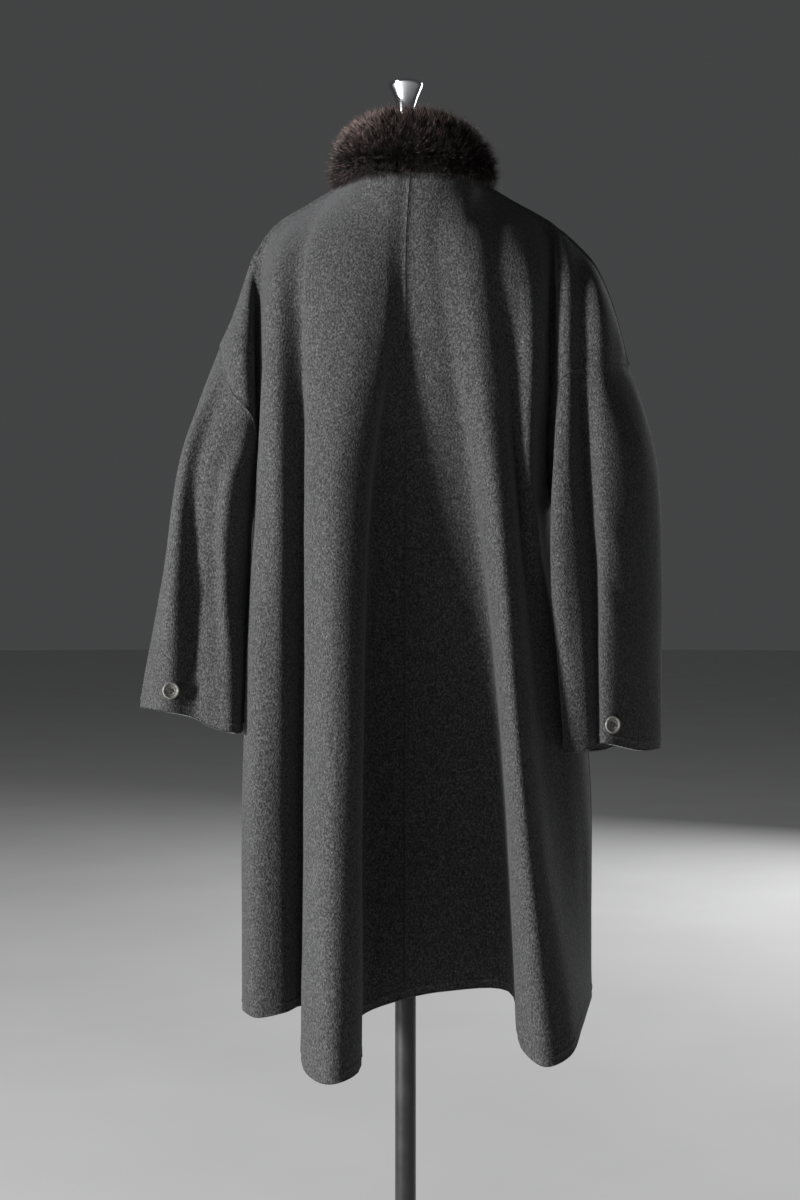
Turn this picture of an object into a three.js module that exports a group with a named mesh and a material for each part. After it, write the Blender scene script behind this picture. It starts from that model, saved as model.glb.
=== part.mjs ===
// A fur-trimmed swing coat of thick wool on a limbless dress form with a stand.
// Millimetres, +Z up. The back of the coat faces +Y and the wearer's left is +X.
// The origin is on the floor, at the axis of the pole.
import * as THREE from "three";

// ---- driving sizes -------------------------------------------------------

const CLOTH = 3; // thickness of the wool
const SEAM_GAP = 0.3; // between pieces that are sewn together
const SEAM_SLACK = 0.02; // added to each seam gap, so that none is too narrow
const PRESSED = { share: 0.5, reach: 50 }; // the cloth is thinner where four seams meet
const UNDERARM_Z = 1060;
const HIP_Z = { left: 765, right: 740 };

// Each fold line runs from the top edge to the hem. Between the top and the
// underarm it crosses two more levels, at these shares of the drop.
const YOKE_SHARE = 0.22;
const BLADE_SHARE = 0.54;

const ROWS_PER_SPAN = { upper: 3, lower: 5 }; // rows between two levels
const ARM_ROWS = [3, 3, 2, 2]; // rows of a sleeve between its levels
const BACK_STEPS = 2; // columns between two fold lines of the back
const FRONT_STEPS = 1;
const ARM_STEPS = 2;

const CUFF_BUTTON = { radius: 10, left: [274, 835], right: [-234, 798] };
const FRONT_BUTTON = { radius: 12, x: -4, heights: [1290, 1150, 1010] };
const POCKET = { lines: [4, 8], rows: [12, 15] };

const FUR = { inner: 16, outer: 17, backHeight: 74, frontHeight: 44, foot: 1.2 };
const FUR_LEAN = { left: 0.12, right: 0.36 }; // lean inwards at each side for its height
const COLLAR_SECTIONS = 30;
const COLLAR_END = 0.16; // how far from the ends of the neckline the collar starts
const POLE_RADIUS = 12.5;
const BASE = { radius: 175, thickness: 8 };
const SOCKET = { radius: 26, height: 42 };
const FORM_BOTTOM_Z = 930;
const NECK_TOP_Z = 1488;

// ---- the folds of the body -------------------------------------------------
// A row is one fold line, from the centre back or front out to the side. The
// line named neck starts at the corner of neckline and shoulder seam, and the
// line named side is the groove in front of the armhole above the underarm and
// the side seam below it.

const LEVELS = ["top", "yoke", "blade", "underarm", "hip", "hem"];

const BACK_LEFT = {
  //              top x, y, z        yoke x, y   blade x, y  underarm    hip         hem x, y, z
  centre:        [-5, 84, 1431,      0, 93,      1, 88,      1, 70,      1, 52,      1, 38, 471],
  valleyEdge:    [14, 83, 1431,      11, 95,     16, 97,     38, 84,     50, 64,     52, 46, 453],
  foldBInner:    [34, 74, 1432,      26, 98,     27, 109,    45, 122,    52, 160,    53, 180, 424],
  foldBCrest:    [56, 48, 1434,      64, 97,     65, 118,    79, 138,    80, 176,    82, 205, 419],
  neck:          [72, 8, 1437,       104, 80,    109, 95,    112, 106,   110, 136,   113, 155, 421],
  valleyAB:      [108, -1, 1418,     121, 72,    119, 72,    118, 58,    120, 51,    121, 49, 465],
  foldAInner:    [130, -3, 1406,     145, 70,    146, 84,    146, 82,    144, 80,    139, 78, 465],
  foldACrest:    [146, -5, 1397,     158, 58,    158, 78,    165, 68,    171, 82,    170, 86, 461],
  foldAOuter:    [156, -5, 1389,     164, 42,    165, 62,    176, 38,    188, 50,    188, 58, 461],
  flank:         [165, -6, 1379,     167, 24,    165, 46,    168, 12,    191, 16,    192, 22, 458],
  side:          [173, -7, 1367,     172, 8,     172, 20,    171, -20,   189, -12,   190, -30, 458],
};

const BACK_RIGHT = {
  //              top x, y, z        yoke x, y   blade x, y  underarm    hip         hem x, y, z
  centre:        BACK_LEFT.centre,
  valleyMid:     [-24, 83, 1431,     -22, 94,    -37, 89,    -40, 67,    -42, 48,    -48, 33, 479],
  valleyEdge:    [-44, 77, 1431,     -36, 93,    -52, 90,    -79, 68,    -108, 50,   -121, 38, 480],
  foldCInner:    [-62, 67, 1432,     -48, 95,    -60, 96,    -87, 91,    -114, 114,  -130, 126, 437],
  foldCCrest:    [-78, 50, 1433,     -64, 96,    -79, 105,   -101, 109,  -126, 141,  -153, 166, 427],
  neck:          [-94, 9, 1436,      -83, 90,    -98, 99,    -118, 98,   -142, 126,  -183, 142, 432],
  valleyCD:      [-110, 1, 1428,     -107, 77,   -118, 80,   -129, 75,   -158, 92,   -201, 94, 451],
  foldDInner:    [-124, -1, 1420,    -126, 74,   -131, 82,   -134, 79,   -176, 67,   -211, 56, 460],
  foldDCrest:    [-139, -2, 1412,    -143, 68,   -144, 86,   -143, 81,   -194, 44,   -218, 24, 463],
  foldDOuter:    [-151, -3, 1406,    -157, 57,   -156, 71,   -154, 58,   -209, 20,   -223, -2, 464],
  flank:         [-162, -4, 1400,    -165, 44,   -162, 54,   -166, 24,   -218, -6,   -225, -26, 464],
  side:          [-172, -4, 1394,    -168, 34,   -168, 34,   -175, -17,  -222, -32,  -224, -50, 464],
};

// One table serves both fronts. Its x runs out to the wearer's left, and for
// the right front it is turned over and scaled to the width at the right side.
// The lines from neck to side start on the back's shoulder seam.
const FRONT = {
  //              top x, y, z        yoke x, y   blade x, y  underarm    hip         hem x, y, z
  edge:          [-28, -82, 1378,    -30, -104,  -30, -132,  -30, -144,  -30, -150,  -30, -160, 470],
  centre:        [30, -82, 1380,     33, -104,   34, -132,   34, -144,   34, -150,   34, -160, 469],
  foldE:         [52, -62, 1401,     56, -94,    60, -126,   62, -142,   64, -156,   68, -180, 464],
  neck:          [0, 0, 0,           76, -72,    84, -112,   88, -131,   92, -140,   96, -140, 463],
  shoulder1:     [0, 0, 0,           110, -52,   112, -92,   116, -110,  124, -137,  128, -162, 460],
  shoulder2:     [0, 0, 0,           132, -42,   132, -76,   136, -90,   150, -126,  156, -158, 458],
  shoulder3:     [0, 0, 0,           148, -34,   146, -62,   149, -74,   170, -98,   172, -112, 460],
  shoulder4:     [0, 0, 0,           158, -28,   156, -50,   159, -58,   184, -74,   184, -84, 460],
  shoulder5:     [0, 0, 0,           166, -23,   163, -42,   165, -42,   189, -46,   191, -58, 459],
  side:          [0, 0, 0,           171, -19,   170, -34,   171, -20,   189, -12,   190, -30, 458],
};

// The right front laps over the left one by this much at each fold line.
const LAP = { edge: 6.5, centre: 6.5, foldE: 5, neck: 2 };

// ---- the folds of the sleeves ------------------------------------------------
// A row is one line of the back half of a sleeve, from the underarm out to the
// line over the top of the arm. Each starts on the shoulder seam, crosses the
// armhole seam and ends at the cuff.

const ELBOW_Z = 960;
const FOREARM_Z = 865;

const ARM_LEFT = {
  //              shoulder x, y, z  seam x, y, z    upper x, y, z    elbow      forearm    cuff x, y, z
  under:         [173, -7, 1367,   171, -20, 1060,  184, -20, 1044,  190, -24,  197, -30,  201, -32, 787],
  innerBack:     [181, -7, 1354,   178, 18, 1100,   188, 44, 1050,   193, 36,   195, 54,   196, 62, 785],
  innerRidge:    [188, -8, 1336,   179, 44, 1147,   206, 68, 1066,   212, 62,   206, 65,   203, 71, 787],
  groove:        [195, -8, 1314,   188, 50, 1166,   218, 57, 1075,   221, 50,   218, 60,   216, 68, 790],
  plateau:       [202, -8, 1293,   201, 44, 1181,   230, 54, 1086,   232, 45,   232, 55,   231, 63, 795],
  valley:        [209, -9, 1275,   210, 30, 1202,   243, 45, 1098,   246, 41,   246, 47,   247, 55, 803],
  outerRidge:    [216, -9, 1259,   217, 13, 1223,   256, 46, 1118,   271, 60,   275, 64,   279, 66, 811],
  over:          [222, -10, 1247,  222, -10, 1247,  266, -6, 1112,   291, -2,   309, 0,    317, 4, 812],
};

const ARM_RIGHT = {
  //              shoulder x, y, z   seam x, y, z      upper x, y, z     elbow      forearm    cuff x, y, z
  under:         [-172, -4, 1394,    -175, -17, 1060,  -193, -13, 1047,  -209, -2,  -226, 4,   -236, 12, 762],
  innerBack:     [-177, -4, 1390,    -179, 42, 1132,   -170, 75, 1062,   -168, 87,  -176, 83,  -183, 78, 764],
  innerRidge:    [-182, -5, 1386,    -179, 69, 1191,   -175, 88, 1084,   -177, 99,  -184, 96,  -191, 93, 766],
  foldE:         [-189, -5, 1381,    -189, 72, 1203,   -187, 87, 1096,   -197, 93,  -203, 93,  -207, 93, 768],
  valley:        [-207, -6, 1365,    -205, 58, 1210,   -210, 64, 1104,   -220, 72,  -222, 76,  -222, 80, 774],
  foldEdge:      [-226, -7, 1344,    -226, 62, 1213,   -226, 88, 1112,   -227, 99,  -226, 100, -227, 98, 777],
  outerRidge:    [-247, -8, 1298,    -250, 30, 1219,   -272, 60, 1118,   -274, 66,  -272, 70,  -270, 67, 766],
  over:          [-268, -10, 1222,   -268, -10, 1222,  -298, -3, 1112,   -306, 5,   -305, 8,   -304, 12, 765],
};

// The front half of a sleeve and of its armhole follows from the back half.
const ARMHOLE_FRONT_SHARE = 0.45; // depth of the front armhole against the back one
const SLEEVE_FRONT_DEPTH = 46; // how far the sleeve swells forward
const SLEEVE_FRONT_RIPPLE = 5;

// The sleeve leaves the armhole as if it came from this share of the way along the wing.
const SLEEVE_START_SHARE = 0.7;

// ---- curves and nets -------------------------------------------------------

const vector = (x, y, z) => new THREE.Vector3(x, y, z);
const mix = THREE.MathUtils.lerp;

/** The smooth curve through the points, with its parameter counted in points. */
function curveThrough(points, closed = false) {
  const curve = new THREE.CatmullRomCurve3(points, closed, "centripetal");
  const spans = closed ? points.length : points.length - 1;
  return (t) => curve.getPoint(t / spans);
}

/** A net of points, cells and their triangles, the faces. Points that coincide are one point. */
class Net {
  constructor(turned) {
    this.points = [];
    this.cells = [];
    this.faces = [];
    this.known = new Map();
    this.turned = turned;
  }

  static key(p) {
    return [p.x, p.y, p.z].map((value) => Math.round(value * 1e4)).join();
  }

  add(point) {
    const key = Net.key(point);
    if (!this.known.has(key)) {
      this.known.set(key, this.points.length);
      this.points.push(point);
    }
    return this.known.get(key);
  }

  /** Adds a grid of rows from the top down, leaving out sides of no length. */
  addGrid(rows) {
    const index = rows.map((row) => row.map((point) => this.add(point)));
    for (let i = 0; i + 1 < index.length; i++) {
      for (let j = 0; j + 1 < index[i].length; j++) {
        const loop = [index[i][j], index[i + 1][j], index[i + 1][j + 1], index[i][j + 1]];
        const corners = loop.filter((corner, place) => corner !== loop[(place + 3) % 4]);
        if (this.turned) corners.reverse();
        if (corners.length > 2) this.cells.push(corners);
        this.faces.push(...this.triangles(corners));
      }
    }
    return this;
  }

  /** Divides a face of four corners along the shorter of its diagonals. */
  triangles(corners) {
    if (corners.length < 4) return corners.length === 3 ? [corners] : [];
    const [a, b, c, d] = corners;
    const across = (from, to) => this.points[from].distanceTo(this.points[to]);
    return across(a, c) < across(b, d) ? [[a, b, c], [a, c, d]] : [[a, b, d], [b, c, d]];
  }

  /** Sides that only one face has, each in the direction of its face. */
  edges() {
    const seen = new Map();
    for (const [a, b, c] of this.faces) {
      for (const [from, to, opposite] of [[a, b, c], [b, c, a], [c, a, b]]) {
        seen.set(`${from},${to}`, [from, to, opposite]);
      }
    }
    return [...seen.values()].filter(([from, to]) => !seen.has(`${to},${from}`));
  }
}

/** The sum of the unit normals of the cells at every place where nets meet. */
function sharedNormals(nets) {
  const sums = new Map();
  for (const net of nets) {
    for (const cell of net.cells) {
      const points = cell.map((corner) => net.points[corner]);
      const normal = vector(0, 0, 0);
      for (let k = 2; k < points.length; k++) {
        const ahead = points[k - 1].clone().sub(points[0]);
        normal.add(ahead.cross(points[k].clone().sub(points[0])));
      }
      normal.normalize();
      for (const point of points) {
        const key = Net.key(point);
        if (!sums.has(key)) sums.set(key, vector(0, 0, 0));
        sums.get(key).add(normal);
      }
    }
  }
  return sums;
}

/** The direction into the net at each point of its edge. */
function inwardAtEdges(net) {
  const inward = new Map();
  for (const [from, to, opposite] of net.edges()) {
    const along = net.points[to].clone().sub(net.points[from]).normalize();
    const into = net.points[opposite].clone().sub(net.points[from]);
    into.addScaledVector(along, -into.dot(along)).normalize();
    for (const corner of [from, to]) {
      const key = Net.key(net.points[corner]);
      if (!inward.has(key)) inward.set(key, vector(0, 0, 0));
      inward.get(key).add(into);
    }
  }
  for (const direction of inward.values()) direction.normalize();
  return inward;
}

/** Makes each net a closed wall of cloth, parted from the nets it is sewn to. */
function wallsOfCloth(nets) {
  const normals = sharedNormals(nets);
  underarms.forEach((place, i) => normals.set(Net.key(place), vector(UNDERARM_LEAN[i], 0, -1)));
  const inward = nets.map(inwardAtEdges);
  return nets.map((net, own) => {
    const middle = net.points.map((point) => {
      const key = Net.key(point);
      const others = inward.filter((map, other) => other !== own && map.has(key));
      if (!inward[own].has(key) || others.length === 0) return point;
      const away = vector(0, 0, 0);
      for (const map of others) away.addScaledVector(map.get(key), -1 / others.length);
      away.add(inward[own].get(key)).normalize();
      return point.clone().addScaledVector(away, others.length ** 2 * SEAM_GAP / 2 + SEAM_SLACK);
    });
    const normal = net.points.map((point) => normals.get(Net.key(point)).clone().normalize());
    return wall(net, middle, normal, net.points.map(thicknessAt));
  });
}

// Where the armhole and side seams meet. The cloth faces down there, leaning by this much in x.
const underarms = [ARM_LEFT, ARM_RIGHT].map(({ under }) => vector(...under.slice(3, 6)));
const UNDERARM_LEAN = [0.1, -0.15];

/** The cloth's thickness, which is less near the underarm, where the seams are pressed flat. */
function thicknessAt(point) {
  const away = Math.min(...underarms.map((place) => point.distanceTo(place)));
  return CLOTH * mix(PRESSED.share, 1, THREE.MathUtils.smoothstep(away, 0, PRESSED.reach));
}

/** A closed wall whose middle is the net, with its thickness at each point. */
function wall(net, middle, normal, thickness) {
  const count = middle.length;
  const corners = [];
  for (const side of [0.5, -0.5]) {
    middle.forEach((point, i) => {
      corners.push(point.clone().addScaledVector(normal[i], side * thickness[i]));
    });
  }
  const triangles = [];
  for (const [a, b, c] of net.faces) {
    triangles.push([a, b, c], [a + count, c + count, b + count]);
  }
  for (const [a, b] of net.edges()) {
    if (isLower(net.points[a], net.points[b])) triangles.push([a, a + count, b + count], [a, b + count, b]);
    else triangles.push([a, a + count, b], [a + count, b + count, b]);
  }
  return closedGeometry(corners, triangles);
}

/** Orders two places, so that both walls at a seam divide their edge alike. */
const isLower = (p, q) => p.z - q.z + 1e-3 * (p.x - q.x) + 1e-6 * (p.y - q.y) < 0;

function closedGeometry(corners, triangles) {
  const geometry = new THREE.BufferGeometry();
  geometry.setAttribute("position", new THREE.Float32BufferAttribute(corners.flatMap((p) => p.toArray()), 3));
  geometry.setIndex(triangles.flat());
  geometry.computeVertexNormals();
  return geometry;
}

/** A closed solid through rings of equal length, each running the same way. */
function loft(rings) {
  const size = rings[0].length;
  const corners = rings.flat();
  const triangles = [];
  for (let i = 0; i + 1 < rings.length; i++) {
    for (let j = 0; j < size; j++) {
      const next = (j + 1) % size;
      const [a, b, c, d] = [i * size + j, i * size + next, (i + 1) * size + next, (i + 1) * size + j];
      triangles.push([a, b, c], [a, c, d]);
    }
  }
  for (const [ring, turned] of [[0, true], [rings.length - 1, false]]) {
    const centre = vector(0, 0, 0);
    for (const point of rings[ring]) centre.addScaledVector(point, 1 / size);
    corners.push(centre);
    for (let j = 0; j < size; j++) {
      const [a, b] = [ring * size + j, ring * size + ((j + 1) % size)];
      triangles.push(turned ? [corners.length - 1, b, a] : [corners.length - 1, a, b]);
    }
  }
  return closedGeometry(corners, triangles);
}

// ---- body panels -----------------------------------------------------------

/** The points of a fold line at the six levels. */
function foldLine(row, hipZ) {
  const [topX, topY, topZ, yokeX, yokeY, bladeX, bladeY, armX, armY, hipX, hipY, hemX, hemY, hemZ] = row;
  return [
    vector(topX, topY, topZ),
    vector(yokeX, yokeY, mix(topZ, UNDERARM_Z, YOKE_SHARE)),
    vector(bladeX, bladeY, mix(topZ, UNDERARM_Z, BLADE_SHARE)),
    vector(armX, armY, UNDERARM_Z),
    vector(hipX, hipY, hipZ),
    vector(hemX, hemY, hemZ),
  ];
}

/** The level parameter of each row of a body panel. */
function bodyLevels() {
  const levels = [0];
  for (let span = 0; span + 1 < LEVELS.length; span++) {
    const steps = span < LEVELS.indexOf("underarm") ? ROWS_PER_SPAN.upper : ROWS_PER_SPAN.lower;
    for (let step = 1; step <= steps; step++) levels.push(span + step / steps);
  }
  return levels;
}

/** Rows of points across fold lines, with the given columns between two lines. */
function acrossLines(lines, levels, steps) {
  const curves = lines.map((points) => curveThrough(points));
  return levels.map((level) => {
    const across = curveThrough(curves.map((curve) => curve(level)));
    const count = (lines.length - 1) * steps;
    return Array.from({ length: count + 1 }, (_, j) => across(j / steps));
  });
}

const bodyRows = bodyLevels();
const UNDERARM_ROW = ROWS_PER_SPAN.upper * LEVELS.indexOf("underarm");
const leftLines = Object.values(BACK_LEFT).map((row) => foldLine(row, HIP_Z.left));
const rightLines = Object.values(BACK_RIGHT).map((row) => foldLine(row, HIP_Z.right));

/** Both halves of the back, from the centre back out to each side. */
function backGrids() {
  const lines = [...leftLines].reverse().concat(rightLines.slice(1));
  const rows = acrossLines(lines, bodyLevels(), BACK_STEPS);
  const centre = (leftLines.length - 1) * BACK_STEPS;
  return {
    left: rows.map((row) => row.slice(0, centre + 1).reverse()),
    right: rows.map((row) => row.slice(centre)),
  };
}

/** The share of the drop to the underarm that each upper row has covered. */
function upperShares() {
  const share = curveShares([0, YOKE_SHARE, BLADE_SHARE, 1]);
  return bodyRows.slice(0, UNDERARM_ROW + 1).map(share);
}

function curveShares(stops) {
  return (level) => {
    const span = Math.min(Math.floor(level), stops.length - 2);
    return mix(stops[span], stops[span + 1], level - span);
  };
}

/** The fold lines of a front, with the top points on the back's shoulder seam. */
function frontLines(side, backLines, backNames) {
  const isRight = side === "right";
  const names = Object.keys(FRONT);
  const neck = names.indexOf("neck");
  const backNeck = backNames.indexOf("neck");
  const own = Object.values(FRONT).map((row) => foldLine(row, HIP_Z[side]));
  const sideLine = own[own.length - 1];
  const backSide = backLines[backLines.length - 1];
  return own.map((points, i) => points.map((point, level) => {
    if (level === 0 && i >= neck) return backLines[backNeck + i - neck][0].clone();
    const underArmhole = level >= LEVELS.indexOf("underarm");
    if (underArmhole && i === own.length - 1) return backSide[level].clone();
    const scale = isRight && i > neck ? -backSide[level].x / sideLine[level].x : 1;
    const toSide = underArmhole ? Math.max(0, (i - neck) / (own.length - 1 - neck)) : 0;
    const x = isRight ? -point.x * scale : point.x;
    const lap = isRight ? LAP[names[i]] ?? 0 : 0;
    const y = point.y - lap + toSide * (backSide[level].y - sideLine[level].y);
    const besideBack = i >= neck && level > 0 && !underArmhole;
    return vector(x, y, besideBack ? backLines[backNeck + i - neck][level].z : point.z);
  }));
}

/** The grid of one front. Its side column ends in the back's side seam. */
function frontGrid(side, back, backLines, backNames) {
  const lines = frontLines(side, backLines, backNames);
  const neck = Object.keys(FRONT).indexOf("neck");
  const outer = (lines.length - 1 - neck) * BACK_STEPS;
  const finer = acrossLines(lines, bodyRows, BACK_STEPS);
  return finer.map((row, i) => {
    const inner = row.slice(0, neck * BACK_STEPS).filter((_, j) => j % (BACK_STEPS / FRONT_STEPS) === 0);
    const rest = row.slice(neck * BACK_STEPS);
    if (i === 0) rest.splice(0, outer + 1, ...back[0].slice(back[0].length - 1 - outer));
    if (i >= UNDERARM_ROW) rest[outer] = back[i][back[i].length - 1];
    return inner.concat(rest);
  });
}

// ---- sleeves ---------------------------------------------------------------

/** The points of one line of a sleeve at the levels from shoulder to cuff. */
function armLine(row) {
  const [x0, y0, z0, x1, y1, z1, x2, y2, z2, x3, y3, x4, y4, x5, y5, z5] = row;
  return [
    vector(x0, y0, z0),
    vector(x1, y1, z1),
    vector(x2, y2, z2),
    vector(x3, y3, ELBOW_Z),
    vector(x4, y4, FOREARM_Z),
    vector(x5, y5, z5),
  ];
}

/** The front half of a sleeve, worked out from the lines of its back half. */
function frontArmLines(backLines) {
  const under = backLines[0];
  const over = backLines[backLines.length - 1];
  const last = backLines.length - 1;
  return backLines.map((line, i) => line.map((point, level) => {
    if (level === 0 || i === 0 || i === last) return point.clone();
    const share = i / last;
    const axis = under[level].clone().lerp(over[level], share);
    if (level === 1) return vector(point.x, axis.y - ARMHOLE_FRONT_SHARE * (point.y - axis.y), point.z);
    const ripple = SLEEVE_FRONT_RIPPLE * Math.sin(3 * Math.PI * share);
    axis.y -= SLEEVE_FRONT_DEPTH * Math.sin(Math.PI * share) + ripple;
    return axis;
  }));
}

/** The line parameters of the columns of half a sleeve. Next to the end there is one step. */
function armColumns(count) {
  const columns = Array.from({ length: (count - 2) * ARM_STEPS + 1 }, (_, j) => j / ARM_STEPS);
  return [...columns, count - 1];
}

/** The part of a panel from the shoulder point out to the armhole seam. */
function wingGrid(lines, bodyColumn) {
  const shares = upperShares();
  const tip = lines[lines.length - 1][1];
  return shares.map((share, i) => {
    const knots = [bodyColumn[i], ...lines.slice(1, -1).map((line) => wingPoint(line, share)), tip];
    return armColumns(lines.length).map(curveThrough(knots));
  });
}

/** A point of the wing, which rounds over from the shoulder seam to the armhole. */
function wingPoint([shoulder, seam], share) {
  const round = 1 - (1 - share) ** 3;
  const point = shoulder.clone().lerp(seam, share);
  point.y = mix(shoulder.y, seam.y, round);
  return point;
}

/** The tube of a sleeve, whose first ring is the armhole seam. */
function sleeveGrid(backLines, frontLines, backWing, frontWing) {
  const ringLines = backLines.concat([...frontLines].slice(1, -1).reverse());
  const startOf = (line) => wingPoint(line, SLEEVE_START_SHARE);
  const curves = ringLines.map((line) => curveThrough([startOf(line), ...line.slice(1)]));
  const levels = [];
  ARM_ROWS.forEach((steps, span) => {
    for (let step = 1; step <= steps; step++) levels.push(1 + span + step / steps);
  });
  const back = backWing[backWing.length - 1];
  const front = [...frontWing[frontWing.length - 1]].reverse();
  const half = armColumns(backLines.length);
  const ringColumns = half.concat(half.slice(1, -1).reverse().map((column) => ringLines.length - column));
  const rows = [back.concat(front.slice(1))];
  for (const level of levels) {
    const around = curveThrough(curves.map((curve) => curve(level)), true);
    const ring = ringColumns.map(around);
    rows.push([...ring, ring[0]]);
  }
  return rows;
}

// ---- the whole coat --------------------------------------------------------

/** The nets of one side of the coat. */
function coatSide(side, back, backLines, backNames, armTable) {
  const isRight = side === "right";
  const arm = Object.values(armTable).map(armLine);
  const frontArm = frontArmLines(arm);
  const front = frontGrid(side, back, backLines, backNames);
  const lastColumn = (grid) => grid.map((row) => row[row.length - 1]);
  const backWing = wingGrid(arm, lastColumn(back));
  const frontWing = wingGrid(frontArm, lastColumn(front));
  frontWing[0] = backWing[0];
  return {
    grid: front,
    back: new Net(!isRight).addGrid(back).addGrid(backWing),
    front: new Net(isRight).addGrid(front).addGrid(frontWing),
    sleeve: new Net(!isRight).addGrid(sleeveGrid(arm, frontArm, backWing, frontWing)),
  };
}

const backs = backGrids();
const left = coatSide("left", backs.left, leftLines, Object.keys(BACK_LEFT), ARM_LEFT);
const right = coatSide("right", backs.right, rightLines, Object.keys(BACK_RIGHT), ARM_RIGHT);

// ---- what lies on the cloth --------------------------------------------------

/** The place on a net seen at x, z from behind (+1) or from the front (-1). */
function placeOn(net, x, z, facing) {
  let best = null;
  for (const face of net.faces) {
    const [a, b, c] = face.map((corner) => net.points[corner]);
    const normal = b.clone().sub(a).cross(c.clone().sub(a));
    if (Math.abs(normal.y) < 1e-9) continue;
    const weights = flatWeights(a, b, c, x, z);
    if (weights.some((weight) => weight < 0)) continue;
    const y = weights[0] * a.y + weights[1] * b.y + weights[2] * c.y;
    if (best === null || facing * y > facing * best.point.y) {
      best = { point: vector(x, y, z), normal: normal.normalize() };
    }
  }
  return best;
}

function flatWeights(a, b, c, x, z) {
  const area = (b.x - a.x) * (c.z - a.z) - (c.x - a.x) * (b.z - a.z);
  const toB = ((x - a.x) * (c.z - a.z) - (c.x - a.x) * (z - a.z)) / area;
  const toC = ((b.x - a.x) * (z - a.z) - (x - a.x) * (b.z - a.z)) / area;
  return [1 - toB - toC, toB, toC];
}

/** A rimmed button on a short shank, with its foot at the origin and its face up. */
function buttonGeometry(radius) {
  const shank = 1.8;
  const profile = [
    [0, 0], [0.26 * radius, 0], [0.26 * radius, shank], [0.88 * radius, shank], [radius, shank + 1],
    [radius, shank + 2.2], [0.88 * radius, shank + 3], [0.74 * radius, shank + 2.1], [0, shank + 1.9],
  ];
  const geometry = new THREE.LatheGeometry(profile.map(([r, h]) => new THREE.Vector2(r, h)), 12);
  return geometry.rotateX(Math.PI / 2);
}

function buttonOn(net, radius, x, z, facing) {
  const place = placeOn(net, x, z, facing);
  const mesh = new THREE.Mesh(buttonGeometry(radius));
  const lift = CLOTH / 2 + SEAM_GAP;
  mesh.position.copy(place.point).addScaledVector(place.normal, lift);
  mesh.quaternion.setFromUnitVectors(vector(0, 0, 1), place.normal);
  return mesh;
}

/** A patch pocket made from the points of the front, moved out. */
function pocket(side) {
  const { grid, front } = side;
  const neck = Object.keys(FRONT).indexOf("neck");
  const column = (line) => neck * FRONT_STEPS + (line - neck) * BACK_STEPS;
  const [first, last] = POCKET.lines.map(column);
  const rows = grid.slice(POCKET.rows[0], POCKET.rows[1] + 1).map((row) => row.slice(first, last + 1));
  const net = new Net(front.turned).addGrid(rows);
  const normals = sharedNormals([front]);
  const normal = net.points.map((point) => normals.get(Net.key(point)).clone().normalize());
  const lift = CLOTH + SEAM_GAP;
  const middle = net.points.map((point, i) => point.clone().addScaledVector(normal[i], lift));
  return wall(net, middle, normal, middle.map(() => CLOTH));
}

/** The fur collar, which stands on the neckline and is open at the front. */
function collar() {
  const neckline = curveThrough(necklinePoints());
  const spans = necklinePoints().length - 1;
  const [front, back] = [neckline(0), leftLines[0][0]];
  const rings = [];
  for (let i = 0; i <= COLLAR_SECTIONS; i++) {
    const share = i / COLLAR_SECTIONS;
    const along = mix(COLLAR_END, spans - COLLAR_END, share);
    const [at, ahead, behind] = [neckline(along), neckline(along + 0.05), neckline(along - 0.05)];
    const outward = vector(ahead.y - behind.y, behind.x - ahead.x, 0).normalize();
    const toBack = THREE.MathUtils.clamp((at.y - front.y) / (back.y - front.y), 0, 1);
    const height = mix(FUR.frontHeight, FUR.backHeight, toBack ** 1.5);
    const end = Math.min(1, Math.sqrt(Math.min(share, 1 - share) * COLLAR_SECTIONS / 2 + 0.25));
    rings.push(furSection(at, outward, height, mix(FUR_LEAN.left, FUR_LEAN.right, share), end));
  }
  return loft(rings);
}

/** A rounded section of the collar. Its foot is narrow, and it leans in at the top. */
function furSection(foot, outward, height, lean, end) {
  const lift = CLOTH / 2 + FUR.foot;
  const outline = [
    [-0.6, 0], [-0.92, 0.25], [-1, 0.5], [-0.84, 0.76], [-0.44, 0.94], [0, 1],
    [0.45, 0.94], [0.8, 0.76], [0.95, 0.5], [1, 0.25], [0.72, 0],
  ];
  return outline.map(([out, up]) => {
    const radial = out * (out < 0 ? FUR.inner : FUR.outer) * end - lean * up * height;
    const rise = (0.5 + (up - 0.5) * end) * height;
    return foot.clone().addScaledVector(outward, radial).add(vector(0, 0, lift + rise));
  });
}

/** The neckline from the left front edge round the back to the right one. */
function necklinePoints() {
  const inner = Object.keys(FRONT).indexOf("neck");
  const backNeckLeft = Object.keys(BACK_LEFT).indexOf("neck");
  const backNeckRight = Object.keys(BACK_RIGHT).indexOf("neck");
  const frontLeft = left.grid[0].slice(1, inner * FRONT_STEPS);
  const frontRight = right.grid[0].slice(1, inner * FRONT_STEPS).reverse();
  const backLeft = leftLines.slice(0, backNeckLeft + 1).map((line) => line[0]).reverse();
  const backRight = rightLines.slice(1, backNeckRight + 1).map((line) => line[0]);
  return [...frontLeft, ...backLeft, ...backRight, ...frontRight];
}

// ---- dress form and stand ----------------------------------------------------

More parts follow.
